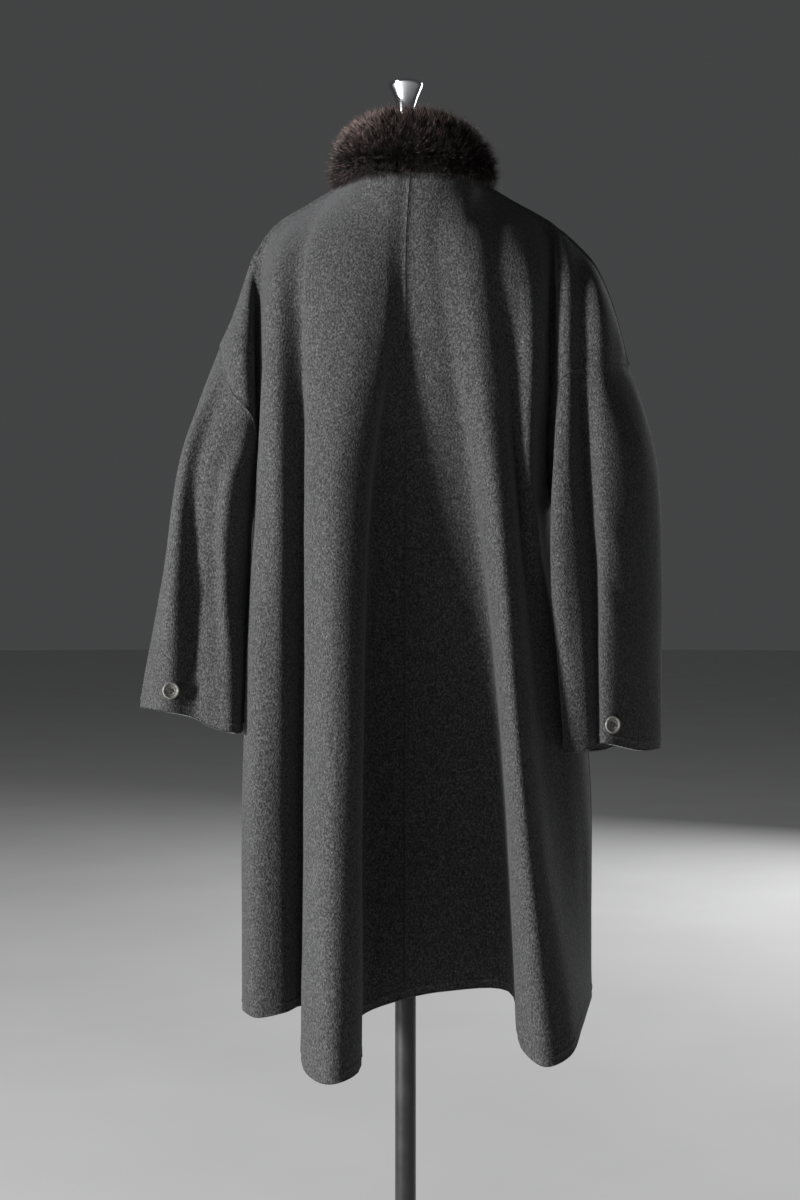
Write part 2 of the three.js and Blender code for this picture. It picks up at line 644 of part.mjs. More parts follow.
const FORM = {
  //  z,    half width, front, back
  bottom:    [FORM_BOTTOM_Z, 118, 98, 44],
  hip:       [960, 124, 104, 48],
  highHip:   [1010, 120, 100, 48],
  waist:     [1062, 116, 98, 50],
  ribs:      [1140, 128, 112, 62],
  bust:      [1215, 140, 116, 74],
  chest:     [1280, 148, 92, 76],
  armpit:    [1335, 150, 62, 68],
  shoulder:  [1376, 142, 30, 50],
  slope:     [1399, 116, 24, 46],
  neckRoot:  [1414, 84, 26, 46],
  neckBase:  [1424, 58, 38, 46],
  neck:      [1446, 48, 44, 46],
  neckTop:   [NECK_TOP_Z, 46, 44, 46],
};
const FORM_SIDES = 28;

function formGeometry() {
  const rings = Object.values(FORM).map(([z, halfWidth, front, back]) => (
    Array.from({ length: FORM_SIDES }, (_, j) => {
      const angle = (2 * Math.PI * j) / FORM_SIDES;
      const depth = Math.sin(angle) > 0 ? back : front;
      return vector(halfWidth * Math.cos(angle), depth * Math.sin(angle), z);
    })
  ));
  return loft(rings);
}

function turned(profile, sides) {
  const points = profile.map(([radius, z]) => new THREE.Vector2(radius, z));
  return new THREE.LatheGeometry(points, sides).rotateX(Math.PI / 2);
}

function neckCap() {
  const foot = NECK_TOP_Z + SEAM_GAP;
  return turned([[0, foot], [44, foot], [46, foot + 3], [44, foot + 6], [0, foot + 6]], 24);
}

function knob() {
  const foot = NECK_TOP_Z + 6 + 2 * SEAM_GAP;
  return turned([
    [0, foot], [15, foot], [14, foot + 3], [9, foot + 8], [8, foot + 18], [9.5, foot + 30], [13.5, foot + 44],
    [18, foot + 56], [21, foot + 62], [20.4, foot + 65], [14, foot + 67.5], [0, foot + 68.5],
  ], 24);
}

function pole() {
  const [foot, top] = [BASE.thickness + SEAM_GAP, FORM_BOTTOM_Z - SEAM_GAP];
  return turned([[0, foot], [POLE_RADIUS, foot], [POLE_RADIUS, top], [0, top]], 20);
}

function socket() {
  const foot = BASE.thickness + SEAM_GAP;
  const bore = POLE_RADIUS + SEAM_GAP;
  const top = foot + SOCKET.height;
  return turned([
    [bore, foot], [SOCKET.radius + 6, foot], [SOCKET.radius, foot + 6], [bore + 4, top - 2], [bore + 3, top],
    [bore, top], [bore, foot],
  ], 20);
}

function base() {
  const { radius, thickness } = BASE;
  return turned([
    [0, 0], [radius - 1, 0], [radius, 1], [radius, thickness - 2], [radius - 2, thickness], [0, thickness],
  ], 40);
}

// ---- assembly ---------------------------------------------------------------

const finish = (color, roughness, metalness = 0) => (
  new THREE.MeshStandardMaterial({ color, roughness, metalness })
);
const wool = () => finish(0x3b3b3d, 0.95);
const horn = () => finish(0x8f8c86, 0.45);
const black = () => finish(0x141415, 0.4, 0.3);

const coat = new THREE.Group();

function place(name, mesh, material) {
  mesh.name = name;
  mesh.material = material;
  coat.add(mesh);
}

const panelNames = ["back_left", "front_left", "sleeve_left", "back_right", "front_right", "sleeve_right"];
const panelNets = [left.back, left.front, left.sleeve, right.back, right.front, right.sleeve];
wallsOfCloth(panelNets).forEach((geometry, i) => place(panelNames[i], new THREE.Mesh(geometry), wool()));

place("pocket_left", new THREE.Mesh(pocket(left)), wool());
place("pocket_right", new THREE.Mesh(pocket(right)), wool());
place("collar_fur", new THREE.Mesh(collar()), finish(0x2a1a15, 1));
place("cuff_button_left", buttonOn(left.sleeve, CUFF_BUTTON.radius, ...CUFF_BUTTON.left, 1), horn());
place("cuff_button_right", buttonOn(right.sleeve, CUFF_BUTTON.radius, ...CUFF_BUTTON.right, 1), horn());
FRONT_BUTTON.heights.forEach((z, i) => {
  place(`front_button_${i + 1}`, buttonOn(right.front, FRONT_BUTTON.radius, FRONT_BUTTON.x, z, -1), horn());
});
place("form_torso", new THREE.Mesh(formGeometry()), finish(0xb9b2a4, 0.9));
place("form_neck_cap", new THREE.Mesh(neckCap()), black());
place("form_knob", new THREE.Mesh(knob()), finish(0xd8d8da, 0.12, 1));
place("stand_pole", new THREE.Mesh(pole()), black());
place("stand_socket", new THREE.Mesh(socket()), black());
place("stand_base", new THREE.Mesh(base()), black());

export default coat;
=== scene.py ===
"""A fur-trimmed swing coat of thick wool on a limbless dress form, ready to render.

The tables and the curves are those of the solids, in millimetres: the back of the
coat faces +Y and the wearer's left is +X. Meshes are made in metres.
"""
import math

import bpy
import numpy as np
from mathutils import Matrix, Vector, noise


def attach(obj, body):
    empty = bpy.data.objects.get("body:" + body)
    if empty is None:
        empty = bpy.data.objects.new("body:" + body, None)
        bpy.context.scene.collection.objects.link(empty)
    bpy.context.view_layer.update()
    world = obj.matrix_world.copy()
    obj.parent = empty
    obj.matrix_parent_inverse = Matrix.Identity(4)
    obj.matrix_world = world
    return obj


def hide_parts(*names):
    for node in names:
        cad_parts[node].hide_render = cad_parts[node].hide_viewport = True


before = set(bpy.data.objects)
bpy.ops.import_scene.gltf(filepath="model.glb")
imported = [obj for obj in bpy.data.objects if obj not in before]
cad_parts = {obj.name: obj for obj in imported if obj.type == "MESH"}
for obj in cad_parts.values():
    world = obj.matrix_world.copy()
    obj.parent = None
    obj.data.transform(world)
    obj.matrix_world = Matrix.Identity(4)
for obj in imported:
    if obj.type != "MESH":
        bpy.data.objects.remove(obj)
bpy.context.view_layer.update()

# ---- driving sizes, in millimetres -------------------------------------------

MM = 0.001  # in metres
CLOTH = 3.0  # the wool's thickness
SEAM_GAP = 0.3  # between pieces that meet
UNDERARM_Z = 1060
HIP_Z = {"left": 765, "right": 740}
YOKE_SHARE = 0.22  # how far down from its top to the underarm a fold line has these levels
BLADE_SHARE = 0.54
ELBOW_Z = 960
FOREARM_Z = 865
TOP, YOKE, BLADE, UNDERARM, HIP, HEM = range(6)  # the levels of a fold line

LINE_STEPS = 6  # columns between two fold lines
UPPER_STEPS = 15  # rows between two levels above the underarm
LOWER_STEPS = 28  # rows between two levels below it
ARM_ROWS = [15, 14, 12, 10]  # rows of a sleeve between its levels

SEAM_SLACK = 0.02  # added to half of each seam's gap
SLEEVE_START_SHARE = 0.7  # where a sleeve's lines start, between shoulder and armhole
SEAM_BLEND = 3  # a third of a level: how far from a seam a grid is drawn to it
FAR = 1000.0  # further from any seam or edge than the cloth reaches

HEM_TURN = 10.0  # from an edge to its topstitching
EDGE_TURN = 8.0
EDGE_ROUND = 1.2  # how far the middle of a cut edge stands proud of its corners
STITCH = {"pitch": 4.4, "length": 3.1, "width": 0.75, "height": 0.5, "sides": 5}
# The rings of a stitch: how far along it each is, and its share of the full width.
STITCH_RINGS = [(-0.5, 0.25), (-0.3, 1.0), (0.3, 1.0), (0.5, 0.25)]

# Columns and rows are closer together at these distances, in parameters or millimetres.
NEAR_COLUMNS = [-0.22, -0.1, -0.05, 0.05, 0.1, 0.22]
NEAR_HEM = [1.5, 4, 7, 8.6, 10, 11.4, 13, 16]
NEAR_TOP = [0.02, 0.05, 0.1]
NEAR_UNDERARM = [2.9, 2.95, 2.98, 2.99]
NEAR_ARMHOLE = [1.015, 1.03, 1.06]
HIP_TO_HEM = 300
FOREARM_TO_CUFF = 85

POLE_RADIUS = 12.5
NECK_TOP_Z = 1488
FORM_BOTTOM_Z = 930
BASE = {"radius": 175, "thickness": 8}
SOCKET = {"radius": 26, "height": 42}

# ---- the folds, as in the solids ---------------------------------------------

BACK_LEFT = {
    #             top x, y, z       yoke x, y  blade x, y  underarm   hip        hem x, y, z
    "centre":     [-5, 84, 1431,    0, 93,     1, 88,      1, 70,     1, 52,     1, 38, 471],
    "valleyEdge": [14, 83, 1431,    11, 95,    16, 97,     38, 84,    50, 64,    52, 46, 453],
    "foldBInner": [34, 74, 1432,    26, 98,    27, 109,    45, 122,   52, 160,   53, 180, 424],
    "foldBCrest": [56, 48, 1434,    64, 97,    65, 118,    79, 138,   80, 176,   82, 205, 419],
    "neck":       [72, 8, 1437,     104, 80,   109, 95,    112, 106,  110, 136,  113, 155, 421],
    "valleyAB":   [108, -1, 1418,   121, 72,   119, 72,    118, 58,   120, 51,   121, 49, 465],
    "foldAInner": [130, -3, 1406,   145, 70,   146, 84,    146, 82,   144, 80,   139, 78, 465],
    "foldACrest": [146, -5, 1397,   158, 58,   158, 78,    165, 68,   171, 82,   170, 86, 461],
    "foldAOuter": [156, -5, 1389,   164, 42,   165, 62,    176, 38,   188, 50,   188, 58, 461],
    "flank":      [165, -6, 1379,   167, 24,   165, 46,    168, 12,   191, 16,   192, 22, 458],
    "side":       [173, -7, 1367,   172, 8,    172, 20,    171, -20,  189, -12,  190, -30, 458],
}

BACK_RIGHT = {
    #             top x, y, z       yoke x, y  blade x, y  underarm   hip        hem x, y, z
    "centre":     BACK_LEFT["centre"],
    "valleyMid":  [-24, 83, 1431,   -22, 94,   -37, 89,    -40, 67,   -42, 48,   -48, 33, 479],
    "valleyEdge": [-44, 77, 1431,   -36, 93,   -52, 90,    -79, 68,   -108, 50,  -121, 38, 480],
    "foldCInner": [-62, 67, 1432,   -48, 95,   -60, 96,    -87, 91,   -114, 114, -130, 126, 437],
    "foldCCrest": [-78, 50, 1433,   -64, 96,   -79, 105,   -101, 109, -126, 141, -153, 166, 427],
    "neck":       [-94, 9, 1436,    -83, 90,   -98, 99,    -118, 98,  -142, 126, -183, 142, 432],
    "valleyCD":   [-110, 1, 1428,   -107, 77,  -118, 80,   -129, 75,  -158, 92,  -201, 94, 451],
    "foldDInner": [-124, -1, 1420,  -126, 74,  -131, 82,   -134, 79,  -176, 67,  -211, 56, 460],
    "foldDCrest": [-139, -2, 1412,  -143, 68,  -144, 86,   -143, 81,  -194, 44,  -218, 24, 463],
    "foldDOuter": [-151, -3, 1406,  -157, 57,  -156, 71,   -154, 58,  -209, 20,  -223, -2, 464],
    "flank":      [-162, -4, 1400,  -165, 44,  -162, 54,   -166, 24,  -218, -6,  -225, -26, 464],
    "side":       [-172, -4, 1394,  -168, 34,  -168, 34,   -175, -17, -222, -32, -224, -50, 464],
}

FRONT = {
    #             top x, y, z       yoke x, y  blade x, y  underarm   hip        hem x, y, z
    "edge":       [-28, -82, 1378,  -30, -104, -30, -132,  -30, -144, -30, -150, -30, -160, 470],
    "centre":     [30, -82, 1380,   33, -104,  34, -132,   34, -144,  34, -150,  34, -160, 469],
    "foldE":      [52, -62, 1401,   56, -94,   60, -126,   62, -142,  64, -156,  68, -180, 464],
    "neck":       [0, 0, 0,         76, -72,   84, -112,   88, -131,  92, -140,  96, -140, 463],
    "shoulder1":  [0, 0, 0,         110, -52,  112, -92,   116, -110, 124, -137, 128, -162, 460],
    "shoulder2":  [0, 0, 0,         132, -42,  132, -76,   136, -90,  150, -126, 156, -158, 458],
    "shoulder3":  [0, 0, 0,         148, -34,  146, -62,   149, -74,  170, -98,  172, -112, 460],
    "shoulder4":  [0, 0, 0,         158, -28,  156, -50,   159, -58,  184, -74,  184, -84, 460],
    "shoulder5":  [0, 0, 0,         166, -23,  163, -42,   165, -42,  189, -46,  191, -58, 459],
    "side":       [0, 0, 0,         171, -19,  170, -34,   171, -20,  189, -12,  190, -30, 458],
}

# The right front laps over the left one by this much at each fold line.
LAP = {"edge": 6.5, "centre": 6.5, "foldE": 5, "neck": 2}

ARM_LEFT = {
    #             shoulder x, y, z  seam x, y, z     upper x, y, z    elbow     forearm   cuff x, y, z
    "under":      [173, -7, 1367,   171, -20, 1060,  184, -20, 1044,  190, -24, 197, -30, 201, -32, 787],
    "innerBack":  [181, -7, 1354,   178, 18, 1100,   188, 44, 1050,   193, 36,  195, 54,  196, 62, 785],
    "innerRidge": [188, -8, 1336,   179, 44, 1147,   206, 68, 1066,   212, 62,  206, 65,  203, 71, 787],
    "groove":     [195, -8, 1314,   188, 50, 1166,   218, 57, 1075,   221, 50,  218, 60,  216, 68, 790],
    "plateau":    [202, -8, 1293,   201, 44, 1181,   230, 54, 1086,   232, 45,  232, 55,  231, 63, 795],
    "valley":     [209, -9, 1275,   210, 30, 1202,   243, 45, 1098,   246, 41,  246, 47,  247, 55, 803],
    "outerRidge": [216, -9, 1259,   217, 13, 1223,   256, 46, 1118,   271, 60,  275, 64,  279, 66, 811],
    "over":       [222, -10, 1247,  222, -10, 1247,  266, -6, 1112,   291, -2,  309, 0,   317, 4, 812],
}

ARM_RIGHT = {
    #             shoulder x, y, z  seam x, y, z     upper x, y, z    elbow     forearm   cuff x, y, z
    "under":      [-172, -4, 1394,  -175, -17, 1060, -193, -13, 1047, -209, -2, -226, 4,  -236, 12, 762],
    "innerBack":  [-177, -4, 1390,  -179, 42, 1132,  -170, 75, 1062,  -168, 87, -176, 83, -183, 78, 764],
    "innerRidge": [-182, -5, 1386,  -179, 69, 1191,  -175, 88, 1084,  -177, 99, -184, 96, -191, 93, 766],
    "foldE":      [-189, -5, 1381,  -189, 72, 1203,  -187, 87, 1096,  -197, 93, -203, 93, -207, 93, 768],
    "valley":     [-207, -6, 1365,  -205, 58, 1210,  -210, 64, 1104,  -220, 72, -222, 76, -222, 80, 774],
    "foldEdge":   [-226, -7, 1344,  -226, 62, 1213,  -226, 88, 1112,  -227, 99, -226, 100, -227, 98, 777],
    "outerRidge": [-247, -8, 1298,  -250, 30, 1219,  -272, 60, 1118,  -274, 66, -272, 70, -270, 67, 766],
    "over":       [-268, -10, 1222, -268, -10, 1222, -298, -3, 1112,  -306, 5,  -305, 8,  -304, 12, 765],
}

# Where the armhole and side seams meet. The cloth faces down there, leaning by this much
# in x, and is thinner round about.
UNDERARMS = [ARM_LEFT["under"][3:6], ARM_RIGHT["under"][3:6]]
UNDERARM_LEAN = [0.1, -0.15]
PRESSED = {"share": 0.5, "reach": 50}

# A sleeve's front half: the depth of its armhole as a share of the back's, and its swell.
ARMHOLE_FRONT_SHARE = 0.45
SLEEVE_FRONT_DEPTH = 46
SLEEVE_FRONT_RIPPLE = 5

# A pocket covers these fold lines of a front, between these levels.
POCKET = {"lines": [4, 8], "levels": [3.6, 4.2]}

# Soft creases: the straight line each follows, how far it reaches to each side,
# and how far it stands out (or in, where less than 0). Facing is +1 on the back.
CREASES = [
    # x0, z0, x1, z1, width, height, facing
    [-32, 1360, -37, 1235, 9, -2.4, 1],
    [-52, 1370, -60, 1240, 11, 1.4, 1],
    [-88, 1375, -110, 1262, 8, -2.6, 1],
    [-149, 1375, -139, 1215, 9, 2.6, 1],
    [-126, 1385, -124, 1290, 8, -1.8, 1],
    [70, 1372, 66, 1262, 13, -1.2, 1],
    [133, 1340, 126, 1235, 10, -1.4, 1],
    [20, 1385, 12, 1310, 8, 1.0, 1],
    [150, 1180, 153, 1000, 9, -1.4, 1],
    [92, 1240, 96, 1020, 14, 1.2, 1],
    [-70, 960, -82, 700, 16, 1.6, 1],
    [-20, 1180, -26, 900, 18, 1.2, 1],
    [62, 700, 66, 470, 12, -1.2, 1],
    [158, 760, 156, 520, 10, -1.6, 1],
    [196, 1000, 212, 984, 6, 2.0, 1],
    [190, 972, 208, 960, 7, -2.0, 1],
    [236, 1150, 250, 1060, 7, 1.4, 1],
    [-196, 1180, -192, 1040, 8, 1.8, 1],
    [-212, 1010, -206, 860, 8, -1.6, 1],
    [-250, 1130, -254, 960, 12, 1.4, 1],
    [-180, 1010, -212, 985, 7, -1.8, 1],
    [-60, 1330, -76, 1180, 13, 1.8, -1],
    [62, 1330, 78, 1190, 13, 1.8, -1],
    [-112, 1330, -118, 1170, 11, -2.0, -1],
    [114, 1320, 120, 1170, 11, -2.0, -1],
    [100, 1000, 108, 700, 16, 1.6, -1],
    [-104, 1000, -112, 700, 16, 1.6, -1],
    [214, 1020, 242, 985, 8, -2.4, -1],
    [212, 980, 246, 930, 8, 2.0, -1],
    [-222, 1030, -250, 990, 8, -2.4, -1],
    [-220, 985, -252, 930, 8, 2.0, -1],
]
CREASE_END = 26  # each crease fades out over this length

# The unevenness of hanging wool: its height, its breadth and its length down the cloth.
HANG = [
    {"height": 1.1, "across": 42, "down": 170, "shift": 0},
    {"height": 0.45, "across": 17, "down": 60, "shift": 9},
]
HANG_FADE = {"start": 2, "reach": 14}  # it and the creases fade out near seams and edges

# A seam dips between the low ridges of its allowances, and a turned edge is drawn in at its stitches.
SEAM_RIDGE = {"height": 0.45, "at": 7, "width": 4}
SEAM_DIP = {"depth": 0.9, "width": 2.0}
TURN_RISE = {"height": 0.55, "reach": 3}
STITCH_DIP = {"depth": 0.6, "width": 1.5}


# ---- curves ------------------------------------------------------------------


def smoothstep(value):
    """0 up to 0 and 1 from 1, with a smooth rise between."""
    value = np.clip(value, 0, 1)
    return value * value * (3 - 2 * value)


SAME = 1e-4  # knots whose gap is less than this are one


def curve_at(knots, params, closed=False):
    """Points of the smooth curve through the knots. The parameter counts the knots."""
    knots = np.asarray(knots, float)
    count = len(knots)
    params = np.asarray(params, float)
    span = np.clip(np.floor(params).astype(int), 0, count - (1 if closed else 2))
    local = (params - span)[:, None]
    if closed:
        corners = [knots[(span + shift) % count] for shift in (-1, 0, 1, 2)]
    else:
        padded = np.vstack([2 * knots[0] - knots[1], knots, 2 * knots[-1] - knots[-2]])
        corners = [padded[span + shift] for shift in range(4)]
    before, start, end, after = corners
    gaps = [np.sqrt(np.linalg.norm(b - a, axis=1)) for a, b in zip(corners, corners[1:])]
    middle = np.where(gaps[1] < SAME, 1, gaps[1])[:, None]
    first = np.where(gaps[0][:, None] < SAME, middle, gaps[0][:, None])
    last = np.where(gaps[2][:, None] < SAME, middle, gaps[2][:, None])
    out = (start - before) / first - (end - before) / (first + middle) + (end - start) / middle
    into = (end - start) / middle - (after - start) / (middle + last) + (after - end) / last
    out, into = out * middle, into * middle
    square = -3 * start + 3 * end - 2 * out - into
    cube = 2 * start - 2 * end + out + into
    return start + local * (out + local * (square + local * cube))


def refined(count, steps, near_edges):
    """Parameters from 0 to count, in steps, with more of them near the given places."""
    base = [span + step / steps for span in range(count) for step in range(steps)] + [count]
    extra = [place + shift for place in near_edges for shift in NEAR_COLUMNS]
    return np.unique(np.round([p for p in base + extra if 0 <= p <= count], 6))


def body_levels():
    """The level of each row of a body panel, closer together at the seams and the hem."""
    levels = [span + step / UPPER_STEPS for span in range(UNDERARM) for step in range(UPPER_STEPS)]
    levels += [span + step / LOWER_STEPS for span in range(UNDERARM, HEM) for step in range(LOWER_STEPS)]
    levels += [*NEAR_TOP, *NEAR_UNDERARM, HEM]
    levels += [HEM - distance / HIP_TO_HEM for distance in NEAR_HEM]
    return np.unique(np.round(levels, 6))


def arm_levels():
    """The level of each row of a sleeve, from the armhole seam at 1 to the cuff at 5."""
    cuff = 1 + len(ARM_ROWS)
    levels = [1 + span + step / steps for span, steps in enumerate(ARM_ROWS) for step in range(steps)]
    levels += [*NEAR_ARMHOLE, cuff]
    levels += [cuff - distance / FOREARM_TO_CUFF for distance in NEAR_HEM]
    return np.unique(np.round(levels, 6))


BODY_LEVELS = body_levels()
UPPER = BODY_LEVELS <= UNDERARM
ARM_LEVELS = arm_levels()


def fold_line(row, hip_z):
    """The points of a fold line at the six levels."""
    top_x, top_y, top_z, yoke_x, yoke_y, blade_x, blade_y, arm_x, arm_y, hip_x, hip_y, *hem = row
    drop = UNDERARM_Z - top_z
    return np.array([
        [top_x, top_y, top_z],
        [yoke_x, yoke_y, top_z + YOKE_SHARE * drop],
        [blade_x, blade_y, top_z + BLADE_SHARE * drop],
        [arm_x, arm_y, UNDERARM_Z],
        [hip_x, hip_y, hip_z],
        hem,
    ], float)


def across_lines(lines, levels, params):
    """A grid of points: a row for each level, and a column for each place across the lines."""
    down = np.array([curve_at(line, levels) for line in lines])
    return np.array([curve_at(down[:, row], params) for row in range(len(levels))])


# ---- the grids of the body ---------------------------------------------------

LEFT_LINES = [fold_line(row, HIP_Z["left"]) for row in BACK_LEFT.values()]
RIGHT_LINES = [fold_line(row, HIP_Z["right"]) for row in BACK_RIGHT.values()]


def back_grids():
    """The grid and the column parameters of each half of the back, from the centre out."""
    lines = LEFT_LINES[::-1] + RIGHT_LINES[1:]
    centre = len(LEFT_LINES) - 1
    params = refined(len(lines) - 1, LINE_STEPS, [0, centre, len(lines) - 1])
    grid = across_lines(lines, BODY_LEVELS, params)
    left = params <= centre
    right = params >= centre
    return {
        "left": (grid[:, left][:, ::-1], (centre - params[left])[::-1]),
        "right": (grid[:, right], params[right] - centre),
    }


def front_lines(side, back_lines, back_neck):
    """The fold lines of a front. From the neck out they start on the back's shoulder seam."""
    names = list(FRONT)
    neck = names.index("neck")
    own = [fold_line(row, HIP_Z[side]) for row in FRONT.values()]
    back_side = back_lines[-1]
    lines = []
    for i, points in enumerate(own):
        line = points.copy()
        for level, point in enumerate(points):
            below = level >= UNDERARM
            if level == TOP and i >= neck:
                line[level] = back_lines[back_neck + i - neck][TOP]
                continue
            if below and i == len(own) - 1:
                line[level] = back_side[level]
                continue
            to_side = max(0, (i - neck) / (len(own) - 1 - neck)) if below else 0
            line[level, 1] += to_side * (back_side[level][1] - own[-1][level][1])
            if side == "right":
                scale = -back_side[level][0] / own[-1][level][0] if i > neck else 1
                line[level, 0] = -point[0] * scale
                line[level, 1] -= LAP.get(names[i], 0)
            if TOP < level < UNDERARM and i >= neck:
                line[level, 2] = back_lines[back_neck + i - neck][level][2]
        lines.append(line)
    return lines


def front_grid(side, back, back_params, back_lines, back_neck):
    """The grid of a front, which meets the back at the shoulder and side seams."""
    lines = front_lines(side, back_lines, back_neck)
    neck = list(FRONT).index("neck")
    outer = len(lines) - 1 - neck
    own = refined(len(lines) - 1, LINE_STEPS, [0])
    beside = back_params[back_params > len(back_lines) - 1 - outer] - (len(back_lines) - 1 - outer)
    params = np.concatenate([own[own <= neck], neck + beside])
    grid = across_lines(lines, BODY_LEVELS, params)
    shoulder = params >= neck
    from_seam = 1 - smoothstep(BODY_LEVELS * SEAM_BLEND)
    offset = back[0, -shoulder.sum():] - grid[0, shoulder]
    grid[:, shoulder] += from_seam[:, None, None] * offset[None]
    at_side = smoothstep(params - (len(lines) - 2))
    below = BODY_LEVELS >= UNDERARM
    offset = back[below, -1] - grid[below, -1]
    grid[below] += at_side[None, :, None] * offset[:, None]
    return grid, params


# ---- the grids of the sleeves ------------------------------------------------


def arm_line(row):
    """The points of one line of a sleeve at the levels from shoulder to cuff."""
    shoulder, seam, upper = row[0:3], row[3:6], row[6:9]
    return np.array([
        shoulder, seam, upper, [row[9], row[10], ELBOW_Z], [row[11], row[12], FOREARM_Z], row[13:16],
    ], float)


def front_arm_lines(back_lines):
    """The front half of a sleeve, worked out from the lines of its back half."""
    last = len(back_lines) - 1
    lines = []
    for i, line in enumerate(back_lines):
        share = i / last
        front = line.copy()
        if 0 < i < last:
            axis = back_lines[0] + share * (back_lines[last] - back_lines[0])
            front[1, 1] = axis[1, 1] - ARMHOLE_FRONT_SHARE * (line[1, 1] - axis[1, 1])
            swell = SLEEVE_FRONT_DEPTH * math.sin(math.pi * share)
            swell += SLEEVE_FRONT_RIPPLE * math.sin(3 * math.pi * share)
            front[2:] = axis[2:]
            front[2:, 1] -= swell
        lines.append(front)
    return lines


def wing_point(line, share):
    """A point between the shoulder seam and the armhole, where the cloth rounds over."""
    point = line[0] + share * (line[1] - line[0])
    point[1] = line[0][1] + (1 - (1 - share) ** 3) * (line[1][1] - line[0][1])
    return point


def wing_grid(lines, body_column, params):
    """The part of a panel from the shoulder point out to the armhole seam."""
    levels = [TOP, YOKE, BLADE, UNDERARM]
    shares = np.interp(BODY_LEVELS[UPPER], levels, [0, YOKE_SHARE, BLADE_SHARE, 1])
    return np.array([
        curve_at([start, *(wing_point(line, share) for line in lines[1:-1]), lines[-1][1]], params)
        for start, share in zip(body_column[UPPER], shares)
    ])


def sleeve_grid(back_arm, front_arm, back_wing, front_wing, params):
    """The tube of a sleeve, whose first ring is the armhole seam."""
    ring_lines = back_arm + front_arm[1:-1][::-1]
    down = np.array([
        curve_at([wing_point(line, SLEEVE_START_SHARE), *line[1:]], ARM_LEVELS) for line in ring_lines
    ])
    around = np.concatenate([params, len(ring_lines) - params[-2:0:-1]])
    grid = np.array([curve_at(down[:, row], around, closed=True) for row in range(len(ARM_LEVELS))])
    seam = np.concatenate([back_wing[-1], front_wing[-1][-2:0:-1]])
    from_seam = 1 - smoothstep((ARM_LEVELS - 1) * SEAM_BLEND)
    grid += from_seam[:, None, None] * (seam - grid[0])[None]
    return np.concatenate([grid, grid[:, :1]], axis=1)


# ---- how far each point is from the seams and edges --------------------------


def along(grid, axis):
    """Lengths along the rows or columns, from their start."""
    steps = np.linalg.norm(np.diff(grid, axis=axis), axis=2)
    return np.insert(np.cumsum(steps, axis=axis), 0, 0, axis=axis)


def from_ends(grid, axis):
    """How far each point is from the start and from the end of its row or column."""
    lengths = along(grid, axis)
    total = lengths[:, -1:] if axis == 1 else lengths[-1:]
    return lengths, total - lengths


def marks(grid, hem=False, first_column=None, top=None, bottom=None, top_from=0):
    """For each point of a grid, its distance from the nearest seam and from the nearest hem.

    Each side is None, "seam" or "edge", and hem says that the bottom row is one.
    """
    left, _ = from_ends(grid, 1)
    above, below = from_ends(grid, 0)
    seam = np.full(grid.shape[:2], FAR)
    edge = below.copy() if hem else np.full(grid.shape[:2], FAR)
    for kind, distance in ((first_column, left), (bottom, below)):
        if kind == "seam":
            seam = np.minimum(seam, distance)
        if kind == "edge":
            edge = np.minimum(edge, distance)
    if top == "seam":
        seam[:, top_from:] = np.minimum(seam, above)[:, top_from:]
    return seam, edge


# ---- nets and walls of cloth -------------------------------------------------


def key_of(point):
    """Points with the same key, to a thousandth of a millimetre, are one point."""
    return tuple(int(round(value * 1000)) for value in point)


class Net:
    """Points and faces. Points that coincide are one point."""

    def __init__(self, turned):
        self.points = []
        self.seam = []
        self.edge = []
        self.faces = []
        self.known = {}
        self.turned = turned

    def add(self, point, seam, edge):
        """Adds a point unless it is known, keeps its smaller distances, and returns its place."""
        key = key_of(point)
        if key not in self.known:
            self.known[key] = len(self.points)
            self.points.append(point)
            self.seam.append(seam)
            self.edge.append(edge)
        place = self.known[key]
        self.seam[place] = min(self.seam[place], seam)
        self.edge[place] = min(self.edge[place], edge)
        return place

    def add_grid(self, grid, seam, edge):
        """Adds a grid of rows from the top down, and returns where its points went."""
        index = np.array([
            [self.add(grid[i, j], seam[i, j], edge[i, j]) for j in range(grid.shape[1])]
            for i in range(grid.shape[0])
        ])
        for i in range(index.shape[0] - 1):
            for j in range(index.shape[1] - 1):
                loop = [index[i, j], index[i + 1, j], index[i + 1, j + 1], index[i, j + 1]]
                face = [int(corner) for place, corner in enumerate(loop) if corner != loop[place - 1]]
                if len(face) > 2:
                    self.faces.append(face[::-1] if self.turned else face)
        return index

    def border(self):
        """Sides that only one face has, each with its face."""
        seen = {}
        for face in self.faces:
            for place, corner in enumerate(face):
                seen[(face[place - 1], corner)] = face
        return [(side, face) for side, face in seen.items() if side[::-1] not in seen]


def shared_normals(nets):
    """The unit normals of each net, the same at places where nets meet."""
    sums = {}
    for net in nets:
        points = np.array(net.points)
        keys = list(net.known)
        for face in net.faces:
            corners = points[face]
            normal = sum(
                np.cross(corners[k - 1] - corners[0], corners[k] - corners[0])
                for k in range(2, len(face))
            )
            normal = normal / (np.linalg.norm(normal) + 1e-12)
            for corner in face:
                sums[keys[corner]] = sums.get(keys[corner], 0) + normal
    for place, lean in zip(UNDERARMS, UNDERARM_LEAN):
        sums[key_of(place)] = np.array([lean, 0, -1])
    result = []
    for net in nets:
        normals = np.array([sums[key] for key in net.known])
        result.append(normals / np.linalg.norm(normals, axis=1, keepdims=True))
    return result


